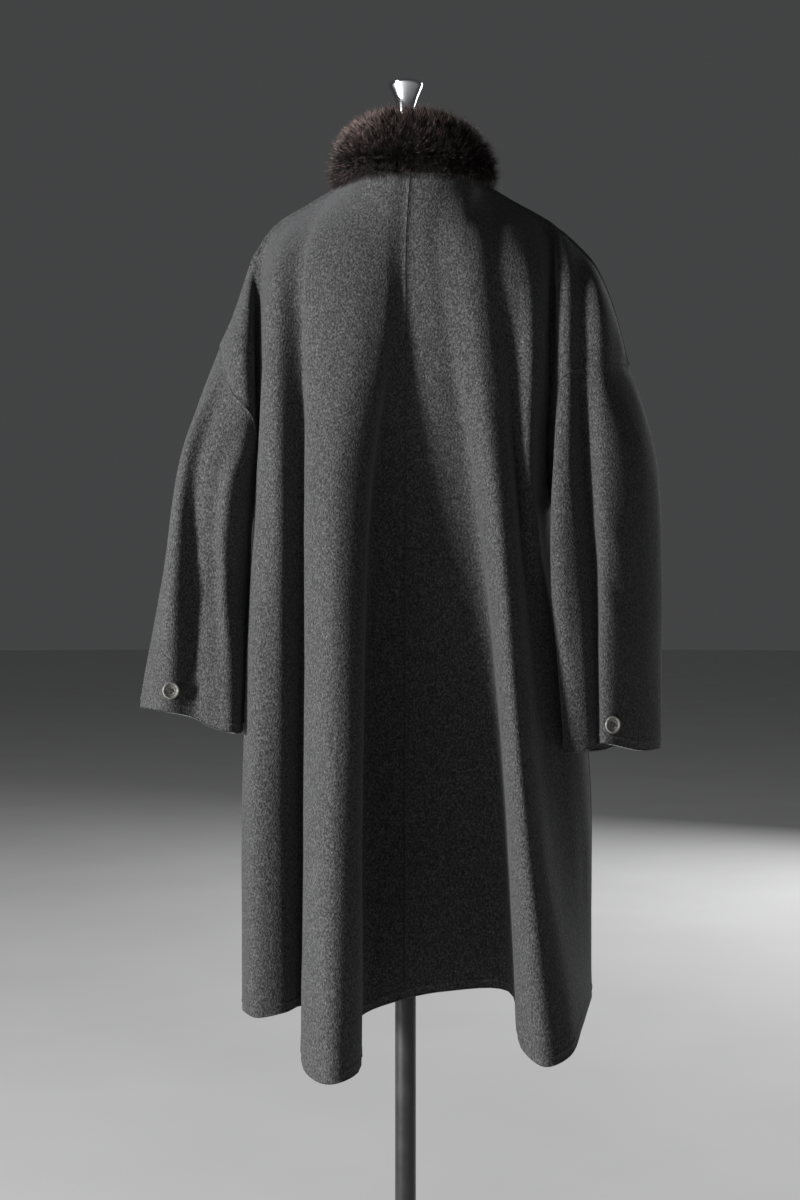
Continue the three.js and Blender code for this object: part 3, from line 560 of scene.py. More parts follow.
def inward_at_border(net):
    """The direction into the net at each point of its border."""
    inward = {}
    for (start, end), face in net.border():
        middle = sum(net.points[corner] for corner in face) / len(face)
        side = net.points[end] - net.points[start]
        side = side / np.linalg.norm(side)
        into = middle - net.points[start]
        into = into - side * np.dot(into, side)
        for corner in (start, end):
            inward[corner] = inward.get(corner, 0) + into / np.linalg.norm(into)
    return {corner: into / np.linalg.norm(into) for corner, into in inward.items()}


def thickness_at(points):
    """The cloth's thickness, which is less near the underarm, where the seams are pressed flat."""
    away = np.min([np.linalg.norm(points - np.array(place), axis=1) for place in UNDERARMS], axis=0)
    return CLOTH * (PRESSED["share"] + (1 - PRESSED["share"]) * smoothstep(away / PRESSED["reach"]))


def crease_relief(points, normals):
    """How far the soft creases move each point out."""
    relief = np.zeros(len(points))
    flat = points[:, [0, 2]]
    for x0, z0, x1, z1, width, height, facing in CREASES:
        start, end = np.array([x0, z0], float), np.array([x1, z1], float)
        length = np.linalg.norm(end - start)
        direction = (end - start) / length
        ahead = (flat - start) @ direction
        aside = np.abs((flat - start) @ np.array([-direction[1], direction[0]]))
        fade = smoothstep((ahead + CREASE_END) / (2 * CREASE_END))
        fade = fade * smoothstep((length - ahead + CREASE_END) / (2 * CREASE_END))
        towards = smoothstep(2 * facing * normals[:, 1])
        relief += height * fade * towards * np.exp(-((aside / width) ** 2))
    return relief


def hang_relief(points):
    """The slight unevenness of thick wool that hangs."""
    relief = np.zeros(len(points))
    for wave in HANG:
        across, down, shift = wave["across"], wave["down"], wave["shift"]
        relief += wave["height"] * np.array([
            noise.noise(Vector((x / across + shift, y / across, z / down))) for x, y, z in points
        ])
    return relief


def seam_relief(seam):
    """The dip at a seam, between the low ridges of its allowances."""
    ridge = SEAM_RIDGE["height"] * np.exp(-(((seam - SEAM_RIDGE["at"]) / SEAM_RIDGE["width"]) ** 2))
    return ridge - SEAM_DIP["depth"] * np.exp(-((seam / SEAM_DIP["width"]) ** 2))


def hem_relief(edge, turn):
    """A turned edge: it is a little thicker, and drawn in at its topstitching."""
    rise = TURN_RISE["height"] * smoothstep((turn - edge) / TURN_RISE["reach"])
    return rise - STITCH_DIP["depth"] * np.exp(-(((edge - turn) / STITCH_DIP["width"]) ** 2))


def wall(name, net, normals, border, sewn):
    """A closed wall of cloth, with its free edges rounded. Also returns its outer points."""
    points = np.array(net.points)
    seam, edge = np.array(net.seam), np.array(net.edge)
    relief = crease_relief(points, normals) + hang_relief(points)
    relief = relief * smoothstep((np.minimum(seam, edge) + HANG_FADE["start"]) / HANG_FADE["reach"])
    relief = relief + seam_relief(seam) + hem_relief(edge, HEM_TURN)
    middle = points + normals * relief[:, None]
    for corner, into in border.items():
        if corner in sewn:
            middle[corner] += into * (SEAM_GAP / 2 + SEAM_SLACK)
    half = thickness_at(points)[:, None] / 2
    outer = middle + normals * half
    inner = middle - normals * half
    count = len(points)
    rim = {corner: 2 * count + i for i, corner in enumerate(border)}
    rim_points = [middle[c] - into * (0 if c in sewn else EDGE_ROUND) for c, into in border.items()]
    faces = list(net.faces) + [[corner + count for corner in face[::-1]] for face in net.faces]
    for (start, end), _ in net.border():
        faces.append([start, rim[start], rim[end], end][::-1])
        faces.append([rim[start], start + count, end + count, rim[end]][::-1])
    vertices = np.vstack([outer, inner, rim_points])
    return mesh_object(name, vertices * MM, faces), outer


def mesh_object(name, vertices, faces):
    """A smooth-shaded object from points in metres."""
    mesh = bpy.data.meshes.new(name)
    mesh.from_pydata([tuple(map(float, v)) for v in vertices], [], faces)
    mesh.validate()
    for polygon in mesh.polygons:
        polygon.use_smooth = True
    piece = bpy.data.objects.new(name, mesh)
    bpy.context.scene.collection.objects.link(piece)
    return piece


def ring_faces(rings, sides, start=0):
    """The faces of a closed tube of rings of points, with a flat face at each end."""
    faces = []
    for ring in range(rings - 1):
        for turn in range(sides):
            a, b = start + ring * sides + turn, start + ring * sides + (turn + 1) % sides
            faces.append([a, b, b + sides, a + sides])
    last = start + (rings - 1) * sides
    faces.append([start + turn for turn in range(sides)][::-1])
    faces.append([last + turn for turn in range(sides)])
    return faces


# ---- one side of the coat ----------------------------------------------------


def coat_side(side, backs, back_lines, back_names, arm_table):
    """The nets of one side: back, front and sleeve, and the grids that details follow."""
    turned = side == "left"
    back, back_params = backs[side]
    front, front_params = front_grid(side, back, back_params, back_lines, back_names.index("neck"))
    arm = [arm_line(row) for row in arm_table.values()]
    front_arm = front_arm_lines(arm)
    params = refined(len(arm) - 1, LINE_STEPS, [0, len(arm) - 1])
    back_wing = wing_grid(arm, back[:, -1], params)
    front_wing = wing_grid(front_arm, front[:, -1], params)
    front_wing[0] = back_wing[0]
    sleeve = sleeve_grid(arm, front_arm, back_wing, front_wing, params)

    nets = {"back": Net(not turned), "front": Net(turned), "sleeve": Net(not turned)}
    back_neck = int(np.searchsorted(back_params, back_names.index("neck")))
    front_neck = int(np.searchsorted(front_params, list(FRONT).index("neck")))
    index = {}
    index["back"] = nets["back"].add_grid(back, *side_marks(back, "seam", back_neck))
    nets["back"].add_grid(back_wing, *marks(back_wing, bottom="seam", top="seam"))
    index["front"] = nets["front"].add_grid(front, *side_marks(front, "edge", front_neck))
    nets["front"].add_grid(front_wing, *marks(front_wing, bottom="seam", top="seam"))
    seam, edge = marks(sleeve, hem=True, top="seam")
    index["sleeve"] = nets["sleeve"].add_grid(sleeve, seam, edge)
    grids = {"back": back, "front": front, "sleeve": sleeve, "front_params": front_params}
    return nets, index, grids


def side_marks(grid, first_column, neck_column):
    """The marks of a body panel, whose last column is a seam only below the underarm."""
    seam, edge = marks(grid, hem=True, first_column=first_column, top="seam", top_from=neck_column)
    _, right = from_ends(grid, 1)
    below = BODY_LEVELS >= UNDERARM
    seam[below] = np.minimum(seam, right)[below]
    return seam, edge


# ---- materials ---------------------------------------------------------------


COLOUR_INPUTS = (0, 6, 7)  # the sockets of a mix node's factor and two colours
COLOUR_OUTPUT = 2


class Shader:
    """A material's node tree, with the few nodes that the finishes below share."""

    def __init__(self, name, colour, roughness, metallic=0.0):
        self.material = bpy.data.materials.new(name)
        self.material.use_nodes = True
        self.tree = self.material.node_tree
        self.principled = self.tree.nodes["Principled BSDF"]
        self.set("Base Color", (*colour, 1))
        self.set("Roughness", roughness)
        self.set("Metallic", metallic)

    def set(self, socket, value):
        self.principled.inputs[socket].default_value = value

    def node(self, kind, **values):
        """A new node, whose settings or input values are given by name."""
        made = self.tree.nodes.new(kind)
        for name, value in values.items():
            if hasattr(made, name):
                setattr(made, name, value)
            else:
                made.inputs[name.replace("_", " ")].default_value = value
        return made

    def link(self, source, target):
        self.tree.links.new(source, target)

    def place(self, scale=(1, 1, 1)):
        """Object coordinates, stretched by the scale."""
        coordinates = self.node("ShaderNodeTexCoord")
        mapping = self.node("ShaderNodeMapping")
        mapping.inputs["Scale"].default_value = scale
        self.link(coordinates.outputs["Object"], mapping.inputs["Vector"])
        return mapping.outputs["Vector"]

    def noise(self, scale, detail=2.0, roughness=0.5, stretch=(1, 1, 1)):
        made = self.node("ShaderNodeTexNoise", Scale=scale, Detail=detail, Roughness=roughness)
        self.link(self.place(stretch), made.inputs["Vector"])
        return made.outputs["Fac"]

    def voronoi(self, scale, stretch=(1, 1, 1)):
        made = self.node("ShaderNodeTexVoronoi", Scale=scale)
        self.link(self.place(stretch), made.inputs["Vector"])
        return made.outputs["Distance"]

    def ramp(self, source, stops):
        """A colour ramp from (place, colour) stops."""
        made = self.node("ShaderNodeValToRGB")
        elements = made.color_ramp.elements
        while len(elements) < len(stops):
            elements.new(0.5)
        for element, (place, colour) in zip(elements, stops):
            element.position = place
            element.color = (*colour, 1) if len(colour) == 3 else colour
        self.link(source, made.inputs["Fac"])
        return made.outputs["Color"]

    def mix(self, factor, first, second, blend="MIX"):
        """Two colours, or a colour and a texture, mixed."""
        made = self.node("ShaderNodeMix", data_type="RGBA", blend_type=blend)
        for socket, value in zip(COLOUR_INPUTS, (factor, first, second)):
            if hasattr(value, "is_output"):
                self.link(value, made.inputs[socket])
            else:
                made.inputs[socket].default_value = value
        return made.outputs[COLOUR_OUTPUT]

    def bump(self, heights):
        """Bumps from (height, distance in millimetres, strength), each on the one before."""
        normal = None
        for height, distance, strength in heights:
            made = self.node("ShaderNodeBump", Strength=strength, Distance=distance * MM)
            self.link(height, made.inputs["Height"])
            if normal is not None:
                self.link(normal, made.inputs["Normal"])
            normal = made.outputs["Normal"]
        self.link(normal, self.principled.inputs["Normal"])


def grey(value, warmth=0.0):
    """A grey, with more red and less blue where it is warm."""
    return (value * (1 + warmth), value, value * (1 - warmth))


WOOL = 0.046  # how light the wool is


def wool_material(name="wool"):
    """Napped melton: felted curls of nap over a faint weave, heathered grey, with pale flecks."""
    shader = Shader(name, grey(WOOL), 0.92)
    fibres = shader.noise(950, 3, 0.6)
    curls = shader.noise(470, 2, 0.65, (1, 1, 0.75))
    broad = shader.noise(6, 3, 0.5, (1, 1, 0.4))
    heather = shader.ramp(curls, [(0.3, grey(WOOL * 0.3)), (0.5, grey(WOOL)), (0.7, grey(WOOL * 2.2))])
    worn = shader.ramp(broad, [(0.3, grey(0.86)), (0.7, grey(1.1))])
    tone = shader.mix(1.0, heather, worn, "MULTIPLY")
    fleck = shader.ramp(shader.voronoi(105, (1, 1, 0.8)), [(0.0, (1, 1, 1)), (0.1, (0, 0, 0))])
    colour = shader.mix(fleck, tone, (*grey(WOOL * 4.5, 0.02), 1))
    shader.link(colour, shader.principled.inputs["Base Color"])
    rough = shader.ramp(curls, [(0.2, grey(0.86)), (0.8, grey(0.98))])
    shader.link(rough, shader.principled.inputs["Roughness"])
    shader.set("Sheen Weight", 0.22)
    shader.set("Sheen Roughness", 0.45)
    shader.set("Sheen Tint", (0.75, 0.76, 0.8, 1))
    shader.set("Specular IOR Level", 0.15)
    shader.bump([(curls, 1.6, 0.9), (fibres, 0.5, 0.7)])
    return shader.material


def thread_material():
    """Twisted dark sewing thread."""
    shader = Shader("thread", grey(0.035), 0.7)
    twist = shader.node("ShaderNodeTexWave", Scale=900, Distortion=1.5)
    shader.link(shader.place(), twist.inputs["Vector"])
    colour = shader.ramp(twist.outputs["Fac"], [(0.2, grey(0.02)), (0.8, grey(0.055))])
    shader.link(colour, shader.principled.inputs["Base Color"])
    shader.set("Sheen Weight", 0.2)
    shader.bump([(twist.outputs["Fac"], 0.15, 0.6)])
    return shader.material


FUR_ROOT = (0.004, 0.0026, 0.0023)
FUR_MIDDLE = (0.008, 0.0034, 0.0028)
FUR_TIP = (0.5, 0.35, 0.31)


def hair_material():
    """Dark brown guard hair, whose tips are paler. The tone varies from hair to hair."""
    shader = Shader("fur_hair", FUR_MIDDLE, 0.5)
    tip = shader.node("ShaderNodeAttribute", attribute_name="tip")
    tone = shader.node("ShaderNodeAttribute", attribute_name="tone")
    stops = [(0.0, FUR_ROOT), (0.45, FUR_MIDDLE), (0.66, FUR_MIDDLE), (0.95, FUR_TIP)]
    length = shader.ramp(tip.outputs["Fac"], stops)
    shade = shader.ramp(tone.outputs["Fac"], [(0.0, grey(0.5)), (0.55, grey(0.9)), (1.0, grey(1.7))])
    colour = shader.mix(1.0, length, shade, "MULTIPLY")
    streak = shader.ramp(shader.noise(900, 2), [(0.3, grey(0.8)), (0.7, grey(1.15))])
    shader.link(shader.mix(1.0, colour, streak, "MULTIPLY"), shader.principled.inputs["Base Color"])
    shader.set("Specular IOR Level", 0.35)
    return shader.material


def underfur_material():
    """The dense short hair under the long one."""
    shader = Shader("underfur", FUR_ROOT, 0.85)
    strands = shader.noise(700, 5, 0.7, (1, 1, 0.25))
    tufts = shader.noise(90, 3, 0.6)
    colour = shader.ramp(strands, [(0.3, grey(0.004)), (0.55, FUR_ROOT), (0.8, FUR_MIDDLE)])
    shader.link(colour, shader.principled.inputs["Base Color"])
    shader.bump([(tufts, 3.0, 0.7), (strands, 1.0, 0.8)])
    return shader.material


HORN_DARK = (0.13, 0.124, 0.114)
HORN = (0.21, 0.202, 0.19)
HORN_PALE = (0.3, 0.29, 0.275)


def button_material():
    """Mottled horn-like plastic with a fine grain."""
    shader = Shader("button_horn", HORN, 0.35)
    mottle = shader.noise(160, 4, 0.6, (1, 1, 2.5))
    colour = shader.ramp(mottle, [(0.3, HORN_DARK), (0.55, HORN), (0.8, HORN_PALE)])
    shader.link(colour, shader.principled.inputs["Base Color"])
    fine = shader.noise(1400, 3)
    rough = shader.ramp(fine, [(0.2, grey(0.28)), (0.8, grey(0.46))])
    shader.link(rough, shader.principled.inputs["Roughness"])
    shader.set("Coat Weight", 0.25)
    shader.set("Coat Roughness", 0.2)
    shader.bump([(fine, 0.05, 0.3)])
    return shader.material


def jersey_material():
    """The knitted cover of the form: fine ribs down it, and a faint tone."""
    shader = Shader("form_jersey", (0.52, 0.47, 0.39), 0.9)
    ribs = shader.node("ShaderNodeTexWave", Scale=190, Distortion=0.4, Detail=1.0)
    shader.link(shader.place((1, 1, 0.15)), ribs.inputs["Vector"])
    soft = shader.noise(14, 3)
    fuzz = shader.noise(900, 3)
    colour = shader.ramp(soft, [(0.3, (0.45, 0.405, 0.335)), (0.7, (0.56, 0.51, 0.43))])
    shader.link(colour, shader.principled.inputs["Base Color"])
    shader.set("Sheen Weight", 0.2)
    shader.bump([(ribs.outputs["Fac"], 0.25, 0.4), (fuzz, 0.15, 0.4)])
    return shader.material


def chrome_material():
    """Polished plate with faint wiping marks."""
    shader = Shader("knob_chrome", (0.78, 0.79, 0.8), 0.07, 1.0)
    wiped = shader.noise(60, 4, 0.6, (1, 1, 0.1))
    rough = shader.ramp(wiped, [(0.35, grey(0.05)), (0.75, grey(0.16))])
    shader.link(rough, shader.principled.inputs["Roughness"])
    shader.bump([(shader.noise(2200, 2), 0.01, 0.25)])
    return shader.material


def black_material(name, roughness):
    """Satin black paint with a fine orange peel, greyer where dust lies."""
    shader = Shader(name, grey(0.012), roughness)
    dust = shader.noise(24, 5, 0.65)
    colour = shader.ramp(dust, [(0.35, grey(0.009)), (0.75, grey(0.022))])
    shader.link(colour, shader.principled.inputs["Base Color"])
    rough = shader.ramp(dust, [(0.3, grey(roughness * 0.85)), (0.8, grey(roughness * 1.35))])
    shader.link(rough, shader.principled.inputs["Roughness"])
    shader.set("Coat Weight", 0.15)
    shader.set("Coat Roughness", 0.25)
    shader.bump([(shader.noise(420, 2), 0.08, 0.25)])
    return shader.material


def floor_material():
    """Matt and pale, a little uneven in tone."""
    shader = Shader("pale_floor", grey(0.72), 0.75)
    cast = shader.ramp(shader.noise(2.2, 3), [(0.3, grey(0.7)), (0.7, grey(0.74))])
    shader.link(cast, shader.principled.inputs["Base Color"])
    return shader.material


# ---- placing pieces ----------------------------------------------------------


def finish_piece(piece, material, slot, *nodes):
    """Gives a piece its material, puts it on the body, and hides what it stands for. The slot is not
    used.
    """
    piece.data.materials.clear()
    piece.data.materials.append(material)
    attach(piece, "root")
    if nodes:
        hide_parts(*nodes)


# ---- stitches ----------------------------------------------------------------


def line_at(grid, distances, distance, axis):
    """The points of a grid at one distance from its edge, from each line that gets there."""
    if axis == 1:
        grid, distances = grid.transpose(1, 0, 2), distances.T
    found = []
    for column in range(grid.shape[1]):
        reach = distances[:, column]
        crossing = np.nonzero((reach[:-1] - distance) * (reach[1:] - distance) <= 0)[0]
        if len(crossing) == 0:
            continue
        k = crossing[-1] if axis == 0 else crossing[0]
        share = (distance - reach[k]) / (reach[k + 1] - reach[k] + 1e-9)
        found.append(grid[k, column] * (1 - share) + grid[k + 1, column] * share)
    return np.array(found)


def stitch_run(points, normals):
    """The vertices and faces of stitches along a line of points on the cloth."""
    lengths = np.insert(np.cumsum(np.linalg.norm(np.diff(points, axis=0), axis=1)), 0, 0)
    places = np.arange(STITCH["pitch"], lengths[-1] - STITCH["pitch"], STITCH["pitch"])
    at = np.stack([np.interp(places, lengths, points[:, k]) for k in range(3)], axis=1)
    further = places + 1
    ahead = np.stack([np.interp(further, lengths, points[:, k]) for k in range(3)], axis=1)
    up = np.stack([np.interp(places, lengths, normals[:, k]) for k in range(3)], axis=1)
    vertices, faces = [], []
    for centre, front, normal in zip(at, ahead, up):
        forward = (front - centre) / np.linalg.norm(front - centre)
        normal = normal - forward * np.dot(normal, forward)
        normal /= np.linalg.norm(normal)
        aside = np.cross(forward, normal)
        faces += ring_faces(len(STITCH_RINGS), STITCH["sides"], len(vertices))
        for shift, size in STITCH_RINGS:
            core = centre + forward * shift * STITCH["length"]
            for turn in range(STITCH["sides"]):
                angle = 2 * math.pi * turn / STITCH["sides"]
                across = aside * math.cos(angle) * STITCH["width"] / 2
                rise = normal * math.sin(angle) * STITCH["height"] / 2
                vertices.append(core + (across + rise) * size)
    return vertices, faces


def stitches(name, runs):
    """One object of all the stitches, along runs of points with their normals."""
    vertices, faces = [], []
    for points, normals in runs:
        if len(points) < 3:
            continue
        more, sides = stitch_run(points, normals)
        faces += [[corner + len(vertices) for corner in side] for side in sides]
        vertices += more
    return mesh_object(name, np.array(vertices) * MM, faces)


# ---- buttons -----------------------------------------------------------------


def disc_frame(node, facing):
    """The foot, axis and radius of a CAD button, from its vertices."""
    points = np.array([tuple(v.co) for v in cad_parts[node].data.vertices]) / MM
    middle = points.mean(axis=0)
    _, _, axes = np.linalg.svd(points - middle)
    axis = axes[2] * (1 if axes[2][1] * facing > 0 else -1)
    heights = (points - middle) @ axis
    aside = points - middle - np.outer(heights, axis)
    centre = (points.min(axis=0) + points.max(axis=0)) / 2
    foot = centre + axis * (heights.min() - (centre - middle) @ axis)
    return foot, axis, np.linalg.norm(aside, axis=1).max()


def lathe(name, profile, sides=64):
    """A solid of revolution about Z through (radius, height) points, which start and end on the axis."""
    rings = profile[1:-1]
    vertices = []
    for radius, height in rings:
        for turn in range(sides):
            angle = 2 * math.pi * turn / sides
            vertices.append((radius * math.cos(angle), radius * math.sin(angle), height))
    return mesh_object(name, np.array(vertices) * MM, ring_faces(len(rings), sides))


CORNER_PART = 2.2  # the cut at a corner takes at most this part of the side beside it


def rounded(profile, radius, steps=3):
    """A profile whose corners, apart from its ends, are cut back and rounded."""
    profile = [np.array(point, float) for point in profile]
    result = [profile[0]]
    for before, corner, after in zip(profile, profile[1:], profile[2:]):
        reach_in = min(radius, np.linalg.norm(before - corner) / CORNER_PART)
        reach_out = min(radius, np.linalg.norm(after - corner) / CORNER_PART)
        start = corner + (before - corner) / np.linalg.norm(before - corner) * reach_in
        end = corner + (after - corner) / np.linalg.norm(after - corner) * reach_out
        for step in range(steps + 1):
            share = step / steps
            result.append((1 - share) ** 2 * start + 2 * share * (1 - share) * corner + share ** 2 * end)
    result.append(profile[-1])
    return result


def oriented(axis, foot):
    """The placement that turns +Z to the axis at the foot, in metres."""
    turn = Vector((0, 0, 1)).rotation_difference(Vector(axis)).to_matrix().to_4x4()
    return Matrix.Translation(Vector([float(c) * MM for c in foot])) @ turn


def join_meshes(name, pieces):
    """One object made of several, which are then removed."""
    with bpy.context.temp_override(
        active_object=pieces[0], selected_editable_objects=pieces, selected_objects=pieces,
    ):
        bpy.ops.object.join()
    pieces[0].name = name
    pieces[0].data.name = name
    return pieces[0]


ASKEW = [0.31, 0.52, 0.79]  # a direction that no thread runs in


def tube(name, path, radius, sides=8):
    """A round thread along a path of points in millimetres."""
    path = np.array(path, float)
    vertices = []
    for i, point in enumerate(path):
        ahead = path[min(i + 1, len(path) - 1)] - path[max(i - 1, 0)]
        ahead /= np.linalg.norm(ahead)
        aside = np.cross(ahead, ASKEW)
        aside /= np.linalg.norm(aside)
        up = np.cross(aside, ahead)
        for turn in range(sides):
            angle = 2 * math.pi * turn / sides
            vertices.append(point + radius * (math.cos(angle) * aside + math.sin(angle) * up))
    return mesh_object(name, np.array(vertices) * MM, ring_faces(len(path), sides))


# Heights above the cloth in millimetres, and the rest as shares of a button's radius.
BUTTON = {
    "under": 1.8, "face": 3.7, "rim": 4.8,
    "hole": 0.105, "spread": 0.19, "shank_foot": 0.2, "shank_top": 0.15,
}
THREAD = {"radius": 0.22, "apart": 0.24, "sunk": 1.2, "dip": 0.1, "rise": 0.25}


def button_profile(radius):
    """Half of a button's section: flat below, with a raised rim round a sunk face."""
    under, face, rim = BUTTON["under"], BUTTON["face"], BUTTON["rim"]
    return rounded([
        (0, under), (0.8 * radius, under), (radius, under + 1.1), (radius, rim - 0.7),
        (0.92 * radius, rim), (0.78 * radius, rim - 0.15), (0.68 * radius, face), (0, face - 0.1),
    ], 0.5)


def drill(disc, x, y, radius):
    """Cuts a round hole through a button."""
    top = BUTTON["rim"] + 2
    cutter = lathe("cutter", [(0, 0), (radius, 0), (radius, top), (0, top)], 14)
    cutter.location = (x * MM, y * MM, 0)
    bpy.context.view_layer.update()
    hole = disc.modifiers.new("hole", "BOOLEAN")
    hole.object = cutter
    hole.solver = "EXACT"
    with bpy.context.temp_override(object=disc, active_object=disc):
        bpy.ops.object.modifier_apply(modifier="hole")
    bpy.data.objects.remove(cutter)


def button_thread(name, radius, spread):
    """The thread shank below a button, and the two bars of double thread across its face."""
    under, face = BUTTON["under"], BUTTON["face"]
    foot, top = BUTTON["shank_foot"] * radius, BUTTON["shank_top"] * radius
    threads = [lathe("shank", [(0, 0), (foot, 0), (top, under), (0, under)], 16)]
    heights = [face - THREAD["sunk"], face - THREAD["dip"], face + THREAD["rise"]]
    heights += [face - THREAD["dip"], face - THREAD["sunk"]]
    for x in (-spread, spread):
        loop = [(x, y, z) for y, z in zip([-spread, -spread, 0, spread, spread], heights)]
        for shift in (-THREAD["apart"], THREAD["apart"]):
            path = curve_at(np.array(loop) + [shift, 0, 0], np.linspace(0, len(loop) - 1, 17))
            threads.append(tube("thread_bar", path, THREAD["radius"]))
    return join_meshes(name, threads)


def make_button(node, facing, horn, thread):
    """A rimmed button with four holes, held by a thread shank and two bars of thread."""
    foot, axis, radius = disc_frame(node, facing)
    spread = BUTTON["spread"] * radius
    disc = lathe(f"{node}_disc", button_profile(radius), 56)
    for x in (-spread, spread):
        for y in (-spread, spread):
            drill(disc, x, y, BUTTON["hole"] * radius)
    sewing = button_thread(f"{node}_thread", radius, spread)
    placement = oriented(axis, foot)
    disc.data.transform(placement)
    sewing.data.transform(placement)
    finish_piece(disc, horn, "button", node)
    finish_piece(sewing, thread, "button")


# ---- fur ---------------------------------------------------------------------

FUR = {
    "seed": 11, "pieces": 4, "strands": 12000, "root_depth": 13.0,
    "length": 21.0, "length_spread": 3.0, "width": 0.42, "width_spread": (0.6, 1.25),
    "foot_level": -0.6, "foot_share": 0.85, "tone_spread": 0.16,
}
# Hair lies in clumps, each with a tone, a turn and a pull towards its middle.
CLUMPS = {"count": 2600, "tone": (0.25, 0.75), "turn": 0.09, "pull": 0.4}
# The way a hair grows: out, up (more so the higher it is), and to one side in broad swirls.
GROWTH = {"out": 0.85, "up": 0.5, "more_up": 0.6, "swirl": 0.45, "across": 60, "down": 45, "jitter": 0.13}
# The share of pale tips rises between two levels up the collar. The pale tips are the hair's own colour,
# but their rise towards the top is a painted rim light that makes the top of the fur lighter. "tip" and
# "plain" are places on the hair's ramp.
PALE_TIPS_AND_RIM_LIGHT = {"levels": (-0.2, 0.6), "shares": (0.12, 0.6), "tip": (0.86, 1.0), "plain": (0.45, 0.66)}
# A hair has three rings of three points, and a tip.
HAIR = {"at": [0.0, 0.4, 0.75, 1.0], "sizes": [0.8, 1.0, 0.6], "droop": 0.16, "bend": 0.1}
HAIR_SIDES = 3
HAIR_POINTS = 10
HAIR_ASKEW = [0.11, 0.23, 0.05]  # added to a normal, so that no hair runs along it
UNDERFUR = {"depth": 8.0, "waves": [(95, 1.6), (260, 0.7)]}
COLLAR_BINS = 36


def collar_surface():
    """Triangles of the collar's solid, with their areas and outward normals, in millimetres."""
    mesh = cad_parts["collar_fur"].data
    mesh.calc_loop_triangles()
    points = np.array([tuple(v.co) for v in mesh.vertices]) / MM
    corners = points[np.array([tuple(t.vertices) for t in mesh.loop_triangles])]
    cross = np.cross(corners[:, 1] - corners[:, 0], corners[:, 2] - corners[:, 0])
    areas = np.linalg.norm(cross, axis=1) / 2
    keep = areas > 1e-6
    return corners[keep], areas[keep], cross[keep] / (2 * areas[keep, None])


def collar_axis(points):
    """The middle and the height of the collar beside each point, found slice by slice."""
    mesh_points = np.array([tuple(v.co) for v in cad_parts["collar_fur"].data.vertices]) / MM
    centre = mesh_points.mean(axis=0)
    which = bin_round(mesh_points, centre)
    filled = np.unique(which)
    middles = np.array([mesh_points[which == k].mean(axis=0) for k in filled])
    heights = np.array([np.ptp(mesh_points[which == k][:, 2]) for k in filled])
    nearest = np.array([np.abs(filled - k).argmin() for k in range(COLLAR_BINS)])
    at = nearest[bin_round(points, centre)]
    return middles[at], heights[at]


def bin_round(points, centre):
    """Which of the equal slices round the neck each point is in."""
    angle = np.arctan2(points[:, 1] - centre[1], points[:, 0] - centre[0])
    return ((angle + math.pi) / (2 * math.pi) * COLLAR_BINS).astype(int) % COLLAR_BINS


def collar_level(points):
    """How high each point is on the collar: -1 at its foot and 1 at its top."""
    middle, height = collar_axis(points)
    return np.clip((points[:, 2] - middle[:, 2]) / (height / 2 + 1e-6), -1, 1)


def hair_directions(points, normals, rng):
    """Which way the hair grows: out, and up more the higher it is, in broad swirls."""
    lift = GROWTH["up"] + GROWTH["more_up"] * collar_level(points)
    around = np.cross(normals, [0, 0, 1.0])
    across, down = GROWTH["across"], GROWTH["down"]
    swirl = GROWTH["swirl"] * np.array([
        noise.noise(Vector((x / across, y / across, z / down))) for x, y, z in points
    ])
    direction = GROWTH["out"] * normals + lift[:, None] * [0, 0, 1.0] + swirl[:, None] * around
    direction += rng.normal(0, GROWTH["jitter"], points.shape)
    return direction / np.linalg.norm(direction, axis=1, keepdims=True)


def strand_mesh(name, roots, directions, normals, lengths, widths, tones, tips):
    """Closed tapered hairs of three sides, which bend a little under their weight."""
    count = len(roots)
    droop = np.array([0, 0, -HAIR["droop"]])
    sideways = np.cross(directions, normals + HAIR_ASKEW)
    sideways /= np.linalg.norm(sideways, axis=1, keepdims=True)
    upright = np.cross(sideways, directions)
    vertices = np.zeros((count, HAIR_POINTS, 3))
    for ring, share in enumerate(HAIR["at"]):
        bend = (share ** 2) * (droop[None] + HAIR["bend"] * normals)
        centre = roots + lengths[:, None] * (share * directions + bend)
        if ring == len(HAIR["sizes"]):
            vertices[:, -1] = centre
            continue
        reach = (widths * HAIR["sizes"][ring] / 2)[:, None]
        for turn in range(HAIR_SIDES):
            angle = 2 * math.pi * turn / HAIR_SIDES
            offset = math.cos(angle) * sideways + math.sin(angle) * upright
            vertices[:, ring * HAIR_SIDES + turn] = centre + offset * reach
    piece = mesh_object(name, vertices.reshape(-1, 3) * MM, strand_faces(count))
    tip = piece.data.attributes.new("tip", "FLOAT", "POINT")
    along_hair = np.repeat(HAIR["at"], [HAIR_SIDES] * len(HAIR["sizes"]) + [1])
    tip.data.foreach_set("value", (tips[:, None] * along_hair[None]).ravel())
    tone = piece.data.attributes.new("tone", "FLOAT", "POINT")
    tone.data.foreach_set("value", np.repeat(tones, HAIR_POINTS))
    return piece


def strand_faces(count):
    """The faces of that many hairs: a foot, two bands of sides, and a point."""
    last = HAIR_POINTS - 1
    pattern = [[0, 2, 1]]
    for ring in range(len(HAIR["sizes"]) - 1):
        for turn in range(HAIR_SIDES):
            a, b = ring * HAIR_SIDES + turn, ring * HAIR_SIDES + (turn + 1) % HAIR_SIDES
            pattern.append([a, b, b + HAIR_SIDES, a + HAIR_SIDES])
    top = last - HAIR_SIDES
    pattern += [[top + turn, top + (turn + 1) % HAIR_SIDES, last] for turn in range(HAIR_SIDES)]
    return [[corner + HAIR_POINTS * i for corner in side] for i in range(count) for side in pattern]


